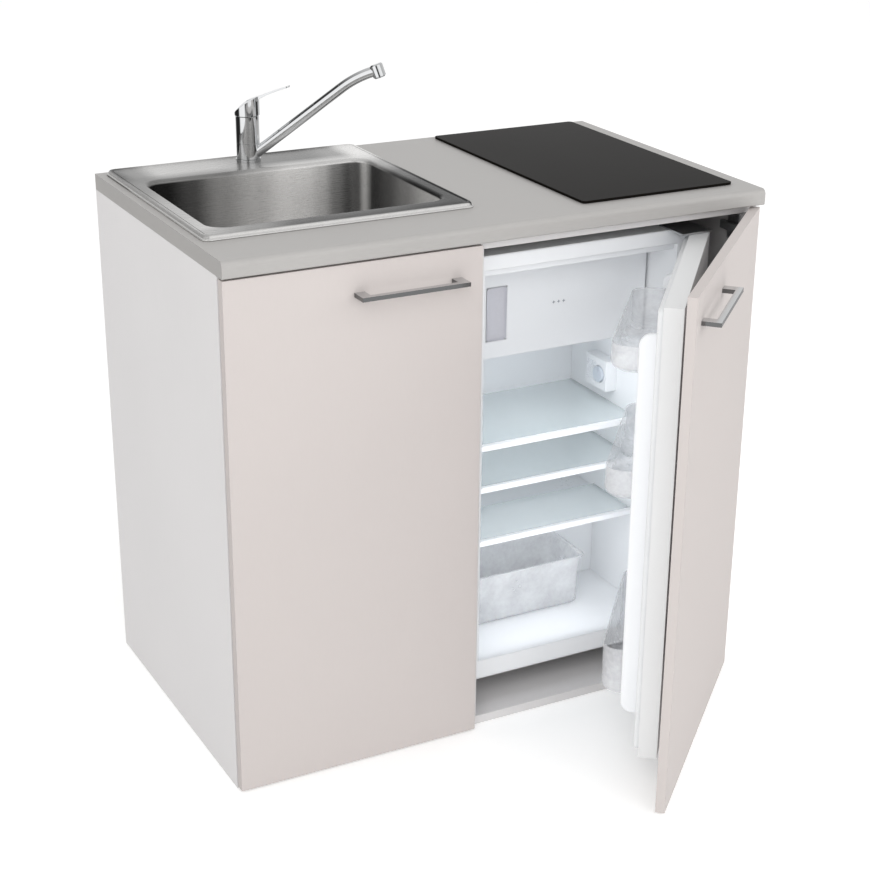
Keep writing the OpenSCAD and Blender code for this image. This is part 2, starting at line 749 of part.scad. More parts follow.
module hob_glass() color(black_glass) slab([hx0, hy0, hob_z], [hx1, hy1, hob_z + hob_t], 7);

module hob_seal() color(dark_plastic) difference() {
  slab([hx0 + 3, hy0 + 3, unit_h], [hx1 - 3, hy1 - 3, hob_z], 5);
  slab([hx0 + 9, hy0 + 9, unit_h - 1], [hx1 - 9, hy1 - 9, hob_z + 1], 4);
}

gland_d = 14;
gland_z = case_z + 10.5;
gland_x = (case_x0 + case_x1) / 2;
module hob_case() color(steel) difference() {
  union() {
    block([case_x0, case_y0, case_z], [case_x1, case_y1, hob_z]);
    rod_y([gland_x, case_y1 - 1, gland_z], 9, gland_d + 6);
  }
  block([case_x0 + skin_t, case_y0 + skin_t, case_z + skin_t], [case_x1 - skin_t, case_y1 - skin_t, hob_z + 1]);
  rod_y([gland_x, case_y1 - 5, gland_z], 20, gland_d);
}

// Two radiant heaters pressed up against the glass: a dish and its limiter rod each.
heater_h = 22;
heater_z = hob_z - heater_h - 0.5;
module heater(y, d) translate([gland_x, y, heater_z]) {
  difference() {
    cylinder(h = heater_h, d = d);
    translate([0, 0, 5]) cylinder(h = heater_h, d = d - 10);
  }
  translate([0, 0, 5]) cylinder(h = 5, d = d - 24);
  translate([0, 0, case_z + skin_t - heater_z]) cylinder(h = heater_z - case_z - skin_t, d = 36);
}
front_heater_y = case_y0 + heater_d / 2 + 16;
rear_heater_y = case_y1 - rear_heater_d / 2 - 46;
module hob_heaters() color([0.85, 0.84, 0.8]) {
  heater(front_heater_y, heater_d);
  heater(rear_heater_y, rear_heater_d);
}

// The control electronics on the case's floor, between the two heaters.
board_y = (front_heater_y + heater_d / 2 + rear_heater_y - rear_heater_d / 2) / 2;
module hob_board() color([0.16, 0.35, 0.2])
  block([case_x0 + 30, board_y - 33, case_z + skin_t], [case_x1 - 30, board_y + 33, case_z + skin_t + 12]);

// Spring clips on the case that press against the edge of the cut-out.
cut_gap = 3;
module hob_clips() color(steel) for (side = [0, 1], y = [case_y0 + 90, case_y1 - 90]) {
  block([side ? case_x1 : case_x0 - 1.2, y - 12, unit_h - 26],
        [side ? case_x1 + 1.2 : case_x0, y + 12, unit_h - 6]);
  block([side ? case_x1 : case_x0 - cut_gap, y - 12, unit_h - 19],
        [side ? case_x1 + cut_gap : case_x0, y + 12, unit_h - 15]);
}

// ---- Fronts, handles and concealed hinges ----

// A front between two edges, with the bores for its hinge cups and handle screws.
module front_board(x0, x1, cup_x, foot_xs) color(front_white) difference() {
  block([x0, door_y0, door_z0], [x1, door_y1, door_z1]);
  for (z = hinge_zs) rod_y([cup_x, door_y1 - cup_depth - slip, z], cup_depth + 1, cup_d + 2 * slip);
  for (x = foot_xs) rod_y([x, door_y0 - 1, handle_z], door_t + 2, handle_screw_d + 0.6);
}

handle_z = door_z1 - handle_drop;
foot_in = handle_edge + handle_foot / 2;
handle_pitch = handle_l - handle_foot;
left_feet = [left_x1 - foot_in - handle_pitch, left_x1 - foot_in];
right_feet = [right_x0 + foot_in, right_x0 + foot_in + handle_pitch];
left_cup_x = left_x0 + cup_edge;
right_cup_x = right_x1 - cup_edge;

// A flat bar with a foot bent back at each end.
module handle(feet) color(chrome) difference() {
  block([feet[0] - handle_foot / 2, door_y0 - handle_reach, handle_z - handle_w / 2],
        [feet[1] + handle_foot / 2, door_y0, handle_z + handle_w / 2]);
  block([feet[0] + handle_foot / 2, door_y0 - handle_reach + handle_t, handle_z - handle_w],
        [feet[1] - handle_foot / 2, door_y0 + 1, handle_z + handle_w]);
  for (x = feet) rod_y([x, door_y0 - 14, handle_z], 15, handle_screw_d);
}

// Two pan-head screws from inside the door.
module handle_screws(feet) color(steel) for (x = feet) {
  rod_y([x, door_y0 - 12, handle_z], door_t + 12, handle_screw_d - 0.2);
  rod_y([x, door_y1, handle_z], 1, handle_screw_d + 4);
}

// A hinge's cup with its fixing flange: dir is +1 where the flange reaches to the right.
module hinge_cups(cup_x, inward) color(chrome) for (z = hinge_zs) {
  difference() {
    rod_y([cup_x, door_y1 - cup_depth, z], cup_depth, cup_d);
    rod_y([cup_x, door_y1 - cup_depth + cup_wall, z], cup_depth + 1, cup_d - 2 * cup_wall);
  }
  difference() {
    block([cup_x - 9, door_y1, z - 28], [cup_x + 9, door_y1 + 1, z + 28]);
    rod_y([cup_x, door_y1 - 1, z], 4, cup_d - 2 * cup_wall);
    block([cup_x + (inward > 0 ? -20 : 6), door_y1 - 1, z - 30],
          [cup_x + (inward > 0 ? -6 : 20), door_y1 + 3, z + 30]);
  }
}

module left_door() front_board(left_x0, left_x1, left_cup_x, left_feet);
module left_handle() handle(left_feet);
module left_handle_screws() handle_screws(left_feet);
module left_hinge_cups() hinge_cups(left_cup_x, 1);

module fridge_front() with_front() front_board(right_x0, right_x1, right_cup_x, right_feet);
module right_handle() with_front() handle(right_feet);
module right_handle_screws() with_front() handle_screws(right_feet);
module right_hinge_cups() with_front() hinge_cups(right_cup_x, -1);

// Mounting plates on the sides of the carcass, and the arms on them.
module hinge_plates() color(steel) for (side = [-1, 1], z = hinge_zs)
  block([side < 0 ? -inner_w : inner_w - plate_t, carcass_y + 20, z - 24],
        [side < 0 ? -inner_w + plate_t : inner_w, carcass_y + 52, z + 24]);

module hinge_arm(side) for (z = hinge_zs) {
  x = side * (inner_w - plate_t);
  mirror([side < 0 ? 1 : 0, 0, 0]) translate([abs(x), 0, z]) {
    block([-9, carcass_y + 1, -arm_w / 2], [0, carcass_y + arm_l, arm_w / 2]);
    rod_z([-9, carcass_y + 7, -arm_w / 2], arm_w, 12);
  }
}
module hinge_arms() color(dark_plastic) {
  hinge_arm(-1);
  hinge_arm(1);
}

// ---- Sliding link that makes the front pull the refrigerator's door along ----

// A flat channel on the inner face of the front.
link_y = door_y1;
module drag_rail() color(pipe_white) with_front() difference() {
  block([link_x - travel[1], link_y, link_z - 12], [link_x + travel[0] + 20, link_y + rail_t, link_z + 12]);
  block([link_x - travel[1] + 4, link_y + 0.8, link_z - 8],
        [link_x + travel[0] + 16, link_y + rail_t + 1, link_z + 8]);
}

// The shoe in the channel, stored where the open doors put it.
shoe_shift = 53;
module drag_slider() color(dark_plastic) with_front() difference() {
  block([link_x + shoe_shift - 10, link_y + 0.9, link_z - 7.8],
        [link_x + shoe_shift + 10, link_y + rail_t, link_z + 7.8]);
  rod_y([link_x + shoe_shift, link_y, link_z], 10, 6);
}

// The plate and pin on the refrigerator's door.
module drag_bracket() color(steel) with_fdoor() {
  block([link_x - 22, fdoor_y0 - 0.8, link_z - 30], [link_x + 22, fdoor_y0, link_z + 30]);
  rod_y([link_x, fdoor_y0 - 3.4, link_z], 3, 4.5);
}

// ---- Refrigerator cabinet ----

// The outside of the cabinet, with the compressor's bay cut out of the back.
module fridge_outer(grow) difference() {
  block([fx0 + grow, fy0 + grow, fz0 + grow], [fx1 - grow, fy1 - grow, fz1 - grow]);
  block([fx0 - 1, bay_y - grow, fz0 - 1], [fx1 + 1, fy1 + 1, bay_z + grow]);
}

// The space inside the cabinet, with its stepped upper edge and the compressor's step left standing.
top_step = [13, 12];
module fridge_inner(grow) difference() {
  union() {
    block([in_x0 - grow, fy0 - 1, in_z0 - grow], [in_x1 + grow, in_y1 + grow, in_z1 + grow]);
    block([in_x0 - grow, fy0 - 1, in_z1], [in_x1 + grow, fy0 + top_step[1] + grow, in_z1 + top_step[0] + grow]);
  }
  block([fx0, hump_y + grow, fz0], [fx1, fy1, hump_z - grow]);
}

module fridge_case() color(fridge_white) difference() {
  fridge_outer(0);
  difference() {
    fridge_outer(skin_t);
    block([fx0 - 1, fy0 - 5, fz0 - 1], [fx1 + 1, fy0 - 4, fz1 + 1]);
  }
  block([fx0 + skin_t, fy0 - 1, fz0 + skin_t], [fx1 - skin_t, fy0 + 2 * skin_t, fz1 - skin_t]);
}

module fridge_foam() color([0.92, 0.86, 0.62]) difference() {
  intersection() {
    fridge_outer(skin_t);
    block([fx0, fy0 + liner_t, fz0], [fx1, fy1, fz1]);
  }
  fridge_inner(liner_t);
}

// The white tub: its front frame, its walls and the ribs that carry the shelves.
module fridge_liner() color(fridge_white) {
  difference() {
    union() {
      block([fx0 + skin_t, fy0, fz0 + skin_t], [fx1 - skin_t, fy0 + liner_t, fz1 - skin_t]);
      intersection() {
        fridge_inner(liner_t);
        block([fx0, fy0, fz0], [fx1, fy1, fz1]);
      }
    }
    fridge_inner(0);
  }
  for (i = [0 : 2], side = [0, 1])
    block([side ? in_x1 - rib_w : in_x0, shelf_y0 + 4, shelf_tops[i] - shelf_t - 7],
          [side ? in_x1 : in_x0 + rib_w, shelf_ends[i], shelf_tops[i] - shelf_t]);
}

module fridge_feet() color(dark_plastic) for (x = [fx0 + 40, fx1 - 40], y = [fy0 + 120, bay_y - 40]) {
  rod_z([x, y, board_t], 14, 32);
  rod_z([x, y, board_t], foot_h, 14);
}

// The sealed compressor in its bay, on a tray.
comp_d = 118;
comp_y = bay_y + comp_d / 2 + 14;
comp_x = (fx0 + fx1) / 2;
module compressor() color([0.1, 0.1, 0.11]) {
  rod_z([comp_x, comp_y, fz0 + 12], 108, comp_d);
  translate([comp_x, comp_y, fz0 + 120]) intersection() {
    sphere(r = comp_d / 2);
    translate([0, 0, 10]) cube([comp_d + 2, comp_d + 2, 36], center = true);
  }
  block([comp_x - 95, bay_y + 12, fz0 - 1], [comp_x + 95, comp_y + comp_d / 2 + 2, fz0 + 2]);
  for (x = [-44, 44], y = [-30, 30]) rod_z([comp_x + x, comp_y + y, fz0], 13, 20);
  block([fx0 + 1, bay_y, fz0 - 1], [fx1 - 1, bay_y + 40, fz0 + 2]);
}

// The condenser behind the cabinet: one tube in long hairpins on two upright strips.
tube_d = 6;
cond_y = fy1 + 20;
cond_pitch = 56;
cond_rows = 9;
cond_z = bay_z + 50;
cond_x = [fx0 + 60, fx1 - 60];
module condenser() color(dark_plastic) {
  for (i = [0 : cond_rows - 1])
    rod_x([cond_x[0], cond_y, cond_z + i * cond_pitch], cond_x[1] - cond_x[0], tube_d);
  for (i = [0 : cond_rows - 2])
    translate([i % 2 ? cond_x[0] : cond_x[1], cond_y, cond_z + (i + 0.5) * cond_pitch])
      rotate([90, i % 2 ? 180 : 0, 0]) rotate([0, 0, -90]) rotate_extrude(angle = 180)
        translate([cond_pitch / 2, 0]) circle(d = tube_d, $fn = 24);
  for (x = [cond_x[0] + 30, cond_x[1] - 30])
    block([x - 8, cond_y - 1, cond_z - 20], [x + 8, cond_y + 1, cond_z + (cond_rows - 1) * cond_pitch + 20]);
  for (x = [cond_x[0] + 30, cond_x[1] - 30], z = [cond_z - 12, cond_z + (cond_rows - 1) * cond_pitch + 12])
    rod_y([x, fy1, z], cond_y - fy1, 10);
}

// ---- Refrigerator inside ----

// The freezer compartment: a tray with sides, and lugs at its right front for the flap's pins.
lug = [flap_pivot[0] - 8, flap_pivot[0] + 8];
module freezer_box() color(fridge_white) difference() {
  union() {
    difference() {
      block([in_x0 + side_play, box_y0, fz_box - freezer_wall], [in_x1 - side_play, box_y1, in_z1]);
      block([in_x0 + side_play + freezer_wall, box_y0 - 1, fz_box],
            [in_x1 - side_play - freezer_wall, box_y1 - freezer_wall, in_z1 + 1]);
    }
    block([in_x0 + side_play, box_y0, flap_z1 + 1.5], [in_x1 - side_play, box_y0 + 6, in_z1]);
    block([lug[0], flap_y0, fz_box - freezer_wall], [lug[1], box_y0 + 4, fz_box]);
    block([lug[0], flap_y0, flap_z1 + 1.5], [lug[1], box_y0 + 4, flap_z1 + 1.5 + freezer_wall]);
  }
  for (z = [fz_box - freezer_wall - 1, flap_z1])
    rod_z([flap_pivot[0], flap_pivot[1], z], freezer_wall + 2.4, flap_pin_d + 2 * pin_clear);
}

// The flap, with a finger grip let into its left end and a pin at each end of its hinge side.
grip = [47, 41, 98];
flap_x0 = in_x0 + side_play + 2;
flap_x1 = in_x1 - side_play - 2;
module freezer_flap() color(fridge_white) {
  difference() {
    block([flap_x0, flap_y0, flap_z0], [flap_x1, flap_y1, flap_z1]);
    block([flap_x0 + grip[0], flap_y0 - 1, flap_z1 - 23 - grip[2]],
          [flap_x0 + grip[0] + grip[1], flap_y0 + 6, flap_z1 - 23]);
  }
  rod_z([flap_pivot[0], flap_pivot[1], fz_box - freezer_wall + 0.5], flap_h + 2 * freezer_wall + 2, flap_pin_d);
}

module glass_shelves() color(clear_plastic) for (i = [0 : 2])
  block([in_x0 + side_play, shelf_y0, shelf_tops[i] - shelf_t],
        [in_x1 - side_play, shelf_ends[i] - 1, shelf_tops[i]]);

trim_d = 9;
module shelf_trims() color(fridge_white) for (i = [0 : 2]) difference() {
  block([in_x0 + side_play, shelf_y0 - 3, shelf_tops[i] + 2 - trim_h],
        [in_x1 - side_play, shelf_y0 - 3 + trim_d, shelf_tops[i] + 2]);
  block([in_x0, shelf_y0, shelf_tops[i] - shelf_t], [in_x1, shelf_y0 + trim_d, shelf_tops[i]]);
  for (side = [0, 1])
    block([side ? in_x1 - rib_w - 1 : in_x0, shelf_y0 + 2, shelf_tops[i] - 20],
          [side ? in_x1 : in_x0 + rib_w + 1, shelf_y0 + trim_d, shelf_tops[i] - shelf_t + 0.01]);
}

module salad_drawer() color(clear_plastic) difference() {
  union() {
    slab([drawer_x0, drawer_y0, in_z0 + 1], [drawer_x0 + drawer_w, drawer_y1, in_z0 + 1 + drawer_h], 10);
    slab([drawer_x0 - 4, drawer_y0 - 6, in_z0 - 2 + drawer_h],
         [drawer_x0 + drawer_w + 4, drawer_y1, in_z0 + 1 + drawer_h], 10);
  }
  slab([drawer_x0 + drawer_wall, drawer_y0 + drawer_wall, in_z0 + 1 + drawer_wall],
       [drawer_x0 + drawer_w - drawer_wall, drawer_y1 - drawer_wall, in_z0 + drawer_h + 2], 8);
}

// The lamp and thermostat box on the right wall, with the dial on its face.
module control_box() color(fridge_white) difference() {
  block([in_x1 - control_out, control_y0, control_z0], [in_x1, control_y0 + control_l, control_z0 + control_h]);
  rod_x([in_x1 - control_out - 1, dial[0], dial[1]], 5, dial_d + 2);
  rod_x([in_x1 - control_out, dial[0], dial[1]], 14, 6.16);
}

module thermostat_dial() color([0.8, 0.84, 0.9]) difference() {
  union() {
    rod_x([in_x1 - control_out - 5, dial[0], dial[1]], 8.5, dial_d);
    rod_x([in_x1 - control_out - 1, dial[0], dial[1]], 13, 6);
  }
  block([in_x1 - control_out - 6, dial[0] - 1, dial[1] + 3],
        [in_x1 - control_out - 3.5, dial[0] + 1, dial[1] + dial_d / 2 + 1]);
}

// ---- Refrigerator's door ----

// Brackets on the top and under the bottom of the cabinet, each with the pin of one end.
hinge_t = 3;
module fridge_hinges() color(steel) {
  for (top = [0, 1]) {
    z = top ? fz1 : fz0 - hinge_t;
    block([fx1 - 62, fdoor_y0 + 1, z], [fx1 - 1, fy0 + 30, z + hinge_t]);
    rod_z([fpivot[0], fpivot[1], top ? fz1 - 14 : fz0 - 1], 15, fpin_d);
  }
}

edge_gap = 0.6;
module fdoor_blank(grow)
  block([fx0 + grow, fdoor_y0 + grow, fz0 + edge_gap + grow], [fx1 - grow, fdoor_y1, fz1 - edge_gap - grow]);

module fridge_door() color(fridge_white) with_fdoor() difference() {
  fdoor_blank(0);
  for (z = [fz0 - 1, fz1 - 16]) rod_z([fpivot[0], fpivot[1], z], 17, fpin_d + 2 * pin_clear);
}

// The inner lining of the door: its seal, the upright ribs that carry the racks, and low rails between them.
dike_round = 20;
dike_rail = 8;
module door_lining() color(fridge_white) with_fdoor() {
  difference() {
    block([fx0 + 8, fdoor_y1, fz0 + 8], [fx1 - 8, fdoor_y1 + gasket_t, fz1 - 8]);
    block([fx0 + 22, fdoor_y1 - 1, fz0 + 22], [fx1 - 22, fdoor_y1 + gasket_t + 1, fz1 - 22]);
  }
  block([fx0 + 22, fdoor_y1, fz0 + 22], [fx1 - 22, fdoor_y1 + liner_t, fz1 - 22]);
  for (x = [dike_x0, dike_x1 - dike_t])
    translate([x, 0, 0]) rotate([90, 0, 90]) linear_extrude(dike_t) difference() {
      round_rect([fdoor_y1 - dike_round, dike_z0], [fdoor_y1 + dike_out, dike_z1], dike_round);
      translate([fdoor_y1 - dike_round - 1, dike_z0 - 1]) square([dike_round + 1, dike_z1 - dike_z0 + 2]);
    }
  for (z = [dike_z0, dike_z1 - dike_t])
    block([dike_x0 + 1, fdoor_y1, z], [dike_x1 - 1, fdoor_y1 + dike_rail, z + dike_t]);
}

// A clear rack: floor, front and ends, open at the top.
module rack(z, h, d) difference() {
  block([rack_x0, fdoor_y1 + liner_t + 0.5, z], [rack_x1, fdoor_y1 + d, z + h]);
  block([rack_x0 + rack_wall, fdoor_y1 + liner_t + 0.5 + rack_wall, z + rack_wall],
        [rack_x1 - rack_wall, fdoor_y1 + d - rack_wall, z + h + 1]);
}
module door_racks() color(clear_plastic) with_fdoor() {
  rack(rack_zs[0], rack_1_h, rack_d);
  rack(rack_zs[1], rack_2_h, rack_d);
  rack(rack_zs[2], rack_3_h, bottle_rack_d);
}

left_side();
right_side();
partition();
bottom_board();
front_rails();
back_rails();
back_panel();
dowels();
worktop();
sink_bowl();
sink_clips();
waste_flange();
sink_plug();
tail_pipe();
bottle_trap();
outlet_pipe();
tap_base();
tap_body();
tap_spout();
tap_aerator();
tap_cartridge();
tap_hub();
tap_lever();
tap_nut();
hob_glass();
hob_seal();
hob_case();
hob_heaters();
hob_board();
hob_clips();
left_door();
left_handle();
left_handle_screws();
left_hinge_cups();
hinge_plates();
hinge_arms();
fridge_front();
right_handle();
right_handle_screws();
right_hinge_cups();
drag_rail();
drag_slider();
drag_bracket();
fridge_case();
fridge_foam();
fridge_liner();
freezer_box();
freezer_flap();
glass_shelves();
shelf_trims();
salad_drawer();
control_box();
thermostat_dial();
compressor();
condenser();
fridge_feet();
fridge_hinges();
fridge_door();
door_lining();
door_racks();
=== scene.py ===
from math import cos, radians, sin, tau

import bpy
from bpy.props import FloatProperty, FloatVectorProperty, PointerProperty
from mathutils import Matrix, Vector


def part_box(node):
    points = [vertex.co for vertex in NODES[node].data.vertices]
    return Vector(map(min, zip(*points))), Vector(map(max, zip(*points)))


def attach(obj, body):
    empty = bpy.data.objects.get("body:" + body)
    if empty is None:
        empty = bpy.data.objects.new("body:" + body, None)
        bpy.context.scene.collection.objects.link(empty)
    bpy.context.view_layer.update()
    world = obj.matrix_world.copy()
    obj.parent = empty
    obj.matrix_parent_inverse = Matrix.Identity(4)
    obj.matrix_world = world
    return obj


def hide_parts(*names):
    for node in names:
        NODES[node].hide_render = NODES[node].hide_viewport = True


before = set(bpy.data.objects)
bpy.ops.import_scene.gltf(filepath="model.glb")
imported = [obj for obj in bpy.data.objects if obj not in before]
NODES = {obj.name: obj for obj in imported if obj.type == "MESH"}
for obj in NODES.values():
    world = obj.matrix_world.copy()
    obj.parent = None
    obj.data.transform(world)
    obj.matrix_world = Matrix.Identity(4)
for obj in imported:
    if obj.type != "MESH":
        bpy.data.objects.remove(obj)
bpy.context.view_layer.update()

bl_info = {
    "name": "Kitchenette unit with sink and hob",
    "version": (1, 0, 0),
    "blender": (4, 5, 0),
    "location": "3D View > Sidebar > Kitchenette",
    "description": "Finishes and finer pieces of a kitchenette unit, one operator a group of pieces",
    "category": "Object",
}

MM = 0.001

# The refrigerator door's stored pose: a turn about its pins, from closed.
DOOR_PIN = Vector((0.403, -0.266, 0.0))
DOOR_TURN = radians(49.8)


# ---- Sizes and colours that a user would change ----

def length(name, description, default):
    return FloatProperty(name=name, description=description, default=default, min=0.0,
                         unit="LENGTH", precision=4)


def tint(name, description, default):
    return FloatVectorProperty(name=name, description=description, default=default, subtype="COLOR",
                               size=3, min=0.0, max=1.0)


class CabinetFinish(bpy.types.PropertyGroup):
    board: tint("Carcass board", "Colour of the melamine-faced carcass", (0.715, 0.700, 0.700))
    front: tint("Fronts", "Colour of the two fronts", (0.565, 0.520, 0.503))
    worktop: tint("Worktop", "Lighter colour of the worktop's laminate", (0.42, 0.408, 0.396))
    edge_radius: length("Edge radius", "Rounding of the boards' edges", 0.0009)


class MetalFinish(bpy.types.PropertyGroup):
    steel: tint("Stainless steel", "Colour of the sink's steel", (0.95, 0.94, 0.925))
    chrome: tint("Chrome", "Colour of the tap and the handles", (0.86, 0.87, 0.88))
    zinc: tint("Zinc plate", "Colour of plated steel", (0.60, 0.61, 0.62))
    rim_bead: length("Rim bead", "Height of the sink's rolled bead", 0.0012)
    bowl_fillet: length("Bowl fillet", "Radius between the bowl's walls and its floor", 0.024)


class FridgeFinish(bpy.types.PropertyGroup):
    liner: tint("Liner", "Colour of the white plastic inside", (0.93, 0.945, 0.965))
    enamel: tint("Coat", "Colour of the painted steel", (0.84, 0.85, 0.855))
    clear: tint("Clear plastic", "Colour of the racks and the drawer", (0.95, 0.96, 0.985))
    rack_corner: length("Rack corner", "Rounding of the racks' corners", 0.028)
    seal_fold: length("Seal fold", "Depth of the folds in the door seal", 0.0022)


class StageFinish(bpy.types.PropertyGroup):
    floor: tint("Floor", "Colour of the pale floor", (0.93, 0.93, 0.925))
    softness: length("Lamp size", "Size of the large soft lamp", 3.2)


# ---- Mesh makers ----

def ring(x0, y0, x1, y1, r, z, arc=8, side=6):
    """A rounded rectangle at height z, anticlockwise, with the same count of points at any size."""
    corners = ((x1 - r, y0 + r), (x1 - r, y1 - r), (x0 + r, y1 - r), (x0 + r, y0 + r))
    points = []
    for k, (cx, cy) in enumerate(corners):
        for i in range(arc + 1):
            a = radians(-90 + 90 * k + 90 * i / arc)
            points.append(Vector((cx + r * cos(a), cy + r * sin(a), z)))
        nx, ny = corners[(k + 1) % 4]
        a = radians(90 * k)
        start, end = points[-1].copy(), Vector((nx + r * cos(a), ny + r * sin(a), z))
        points += [start.lerp(end, j / side) for j in range(1, side)]
    return points


def hoop(cx, cy, r, z, arc=8, side=6):
    """A circle with the points of ring(), so that the two can be joined."""
    points = []
    for k in range(4):
        for i in range(arc + side):
            a = -75 + 90 * k + (60 * i / arc if i <= arc else 60 + 30 * (i - arc) / side)
            points.append(Vector((cx + r * cos(radians(a)), cy + r * sin(radians(a)), z)))
    return points


def skin(name, loops, first=False, last=False, closed=False):
    """A mesh through loops of equal length. first and last cap the ends, closed joins them."""
    count = len(loops[0])
    points = [p for loop in loops for p in loop]
    faces = []
    rows = len(loops) if closed else len(loops) - 1
    for k in range(rows):
        a, b = k * count, (k + 1) % len(loops) * count
        for i in range(count):
            j = (i + 1) % count
            faces.append((a + i, a + j, b + j, b + i))
    if first:
        faces.append(tuple(reversed(range(count))))
    if last:
        faces.append(tuple(range((len(loops) - 1) * count, len(loops) * count)))
    return from_points(name, points, faces)


def from_points(name, points, faces):
    mesh = bpy.data.meshes.new(name)
    mesh.from_pydata([tuple(p) for p in points], [], faces)
    mesh.validate()
    mesh.update()
    piece = bpy.data.objects.new(name, mesh)
    bpy.context.scene.collection.objects.link(piece)
    return piece


def joined(name, pieces):
    """One object from several meshes."""
    points, faces = [], []
    for piece in pieces:
        base = len(points)
        points += [v.co.copy() for v in piece.data.vertices]
        faces += [tuple(base + i for i in f.vertices) for f in piece.data.polygons]
        mesh = piece.data
        bpy.data.objects.remove(piece)
        bpy.data.meshes.remove(mesh)
    return from_points(name, points, faces)


def turned_on(piece, pin, turn):
    """Turns a piece's mesh about an upright pin, from the closed to the stored pose."""
    piece.data.transform(Matrix.Translation(pin) @ Matrix.Rotation(turn, 4, "Z") @ Matrix.Translation(-pin))


def smooth(piece, angle=35):
    for face in piece.data.polygons:
        face.use_smooth = True
    piece.data.set_sharp_from_angle(angle=radians(angle))


def thicken(piece, thickness, offset=-1.0):
    wall = piece.modifiers.new("Wall", "SOLIDIFY")
    wall.thickness = thickness
    wall.offset = offset
    wall.use_even_offset = True


def outward(piece):
    """Makes the faces of a closed mesh look out."""
    import bmesh
    work = bmesh.new()
    work.from_mesh(piece.data)
    bmesh.ops.recalc_face_normals(work, faces=work.faces)
    work.to_mesh(piece.data)
    work.free()


def lathe(name, profile, centre, axis="Z", steps=32):
    """A turned piece: profile is (radius, height) from the bottom, about a line through centre."""
    loops = []
    for r, h in profile:
        loop = []
        for i in range(steps):
            a = tau * i / steps
            p = Vector((r * cos(a), r * sin(a), h))
            if axis == "Y":
                p = Vector((p.x, p.z, -p.y))
            elif axis == "X":
                p = Vector((p.z, p.x, p.y))
            loop.append(Vector(centre) + p)
        loops.append(loop)
    piece = skin(name, loops, first=True, last=True)
    outward(piece)
    smooth(piece)
    return piece


def fitted(piece, body, finish, slot, *nodes):
    """Puts a piece on its body, with its finish, in the place of the CAD nodes that it stands for."""
    piece.data.materials.clear()
    piece.data.materials.append(finish)
    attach(piece, body)
    if nodes:
        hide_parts(*nodes)
    return piece


def dress(finish, *names):
    """Gives CAD nodes a finish, through their objects' material slots."""
    for name in names:
        node = NODES[name]
        if not node.material_slots:
            node.data.materials.append(None)
        for place in node.material_slots:
            place.link = "OBJECT"
            place.material = finish


# ---- Effects shared by the finishes ----

def new_group(name, inputs, outputs):
    group = bpy.data.node_groups.new(name, "ShaderNodeTree")
    for label, kind, value in inputs:
        socket = group.interface.new_socket(name=label, in_out="INPUT", socket_type=kind)
        if value is not None:
            socket.default_value = value
    for label, kind in outputs:
        group.interface.new_socket(name=label, in_out="OUTPUT", socket_type=kind)
    return group, Wiring(group)


class Wiring:
    """Short words for laying nodes and links in one tree."""

    def __init__(self, tree):
        self.tree = tree

    def node(self, kind, **settings):
        made = self.tree.nodes.new("ShaderNode" + kind)
        for key, value in settings.items():
            setattr(made, key, value)
        return made

    def end(self, kind):
        return self.tree.nodes.new("NodeGroup" + kind)

    def join(self, source, target):
        self.tree.links.new(source, target)

    def maths(self, operation, *values):
        made = self.node("Math", operation=operation)
        self.feed(made, *values)
        return made.outputs[0]

    def vector(self, operation, *values):
        made = self.node("VectorMath", operation=operation)
        self.feed(made, *values)
        return made.outputs["Value" if operation in ("DOT_PRODUCT", "LENGTH") else "Vector"]

    def feed(self, made, *values):
        for socket, value in zip(made.inputs, values):
            if isinstance(value, bpy.types.NodeSocket):
                self.join(value, socket)
            elif value is not None:
                socket.default_value = value

    def noise(self, vector, scale, detail=3.0, rough=0.5):
        made = self.node("TexNoise")
        self.join(vector, made.inputs["Vector"])
        for key, value in (("Scale", scale), ("Detail", detail), ("Roughness", rough)):
            if isinstance(value, bpy.types.NodeSocket):
                self.join(value, made.inputs[key])
            else:
                made.inputs[key].default_value = value
        return made.outputs["Fac"]

    def spread(self, value, low, high, to_low=0.0, to_high=1.0):
        made = self.node("MapRange")
        made.clamp = True
        for key, entry in zip(("Value", "From Min", "From Max", "To Min", "To Max"),
                              (value, low, high, to_low, to_high)):
            if isinstance(entry, bpy.types.NodeSocket):
                self.join(entry, made.inputs[key])
            else:
                made.inputs[key].default_value = entry
        return made.outputs["Result"]


def make_relief():
    """Rounded edges, fine texture and slow waves of a surface, as one normal."""
    group, w = new_group("Surface relief", (
        ("Edge Radius", "NodeSocketFloat", 0.001),
        ("Stretch", "NodeSocketVector", (1.0, 1.0, 1.0)),
        ("Fine Scale", "NodeSocketFloat", 900.0),
        ("Fine Height", "NodeSocketFloat", 0.00002),
        ("Wave Scale", "NodeSocketFloat", 9.0),
        ("Wave Height", "NodeSocketFloat", 0.00004),
    ), (("Normal", "NodeSocketVector"),))
    given, out = w.end("Input"), w.end("Output")
    place = w.node("TexCoord").outputs["Object"]
    along = w.vector("MULTIPLY", place, given.outputs["Stretch"])
    fine = w.noise(along, given.outputs["Fine Scale"], 2.0, 0.55)
    wave = w.noise(place, given.outputs["Wave Scale"], 1.0, 0.4)
    height = w.maths("ADD", w.maths("MULTIPLY", fine, given.outputs["Fine Height"]),
                     w.maths("MULTIPLY", wave, given.outputs["Wave Height"]))
    edge = w.node("Bevel", samples=4)
    w.join(given.outputs["Edge Radius"], edge.inputs["Radius"])
    bump = w.node("Bump")
    bump.inputs["Strength"].default_value = 1.0
    bump.inputs["Distance"].default_value = 1.0
    w.join(height, bump.inputs["Height"])
    w.join(edge.outputs["Normal"], bump.inputs["Normal"])
    w.join(bump.outputs["Normal"], out.inputs["Normal"])
    return group


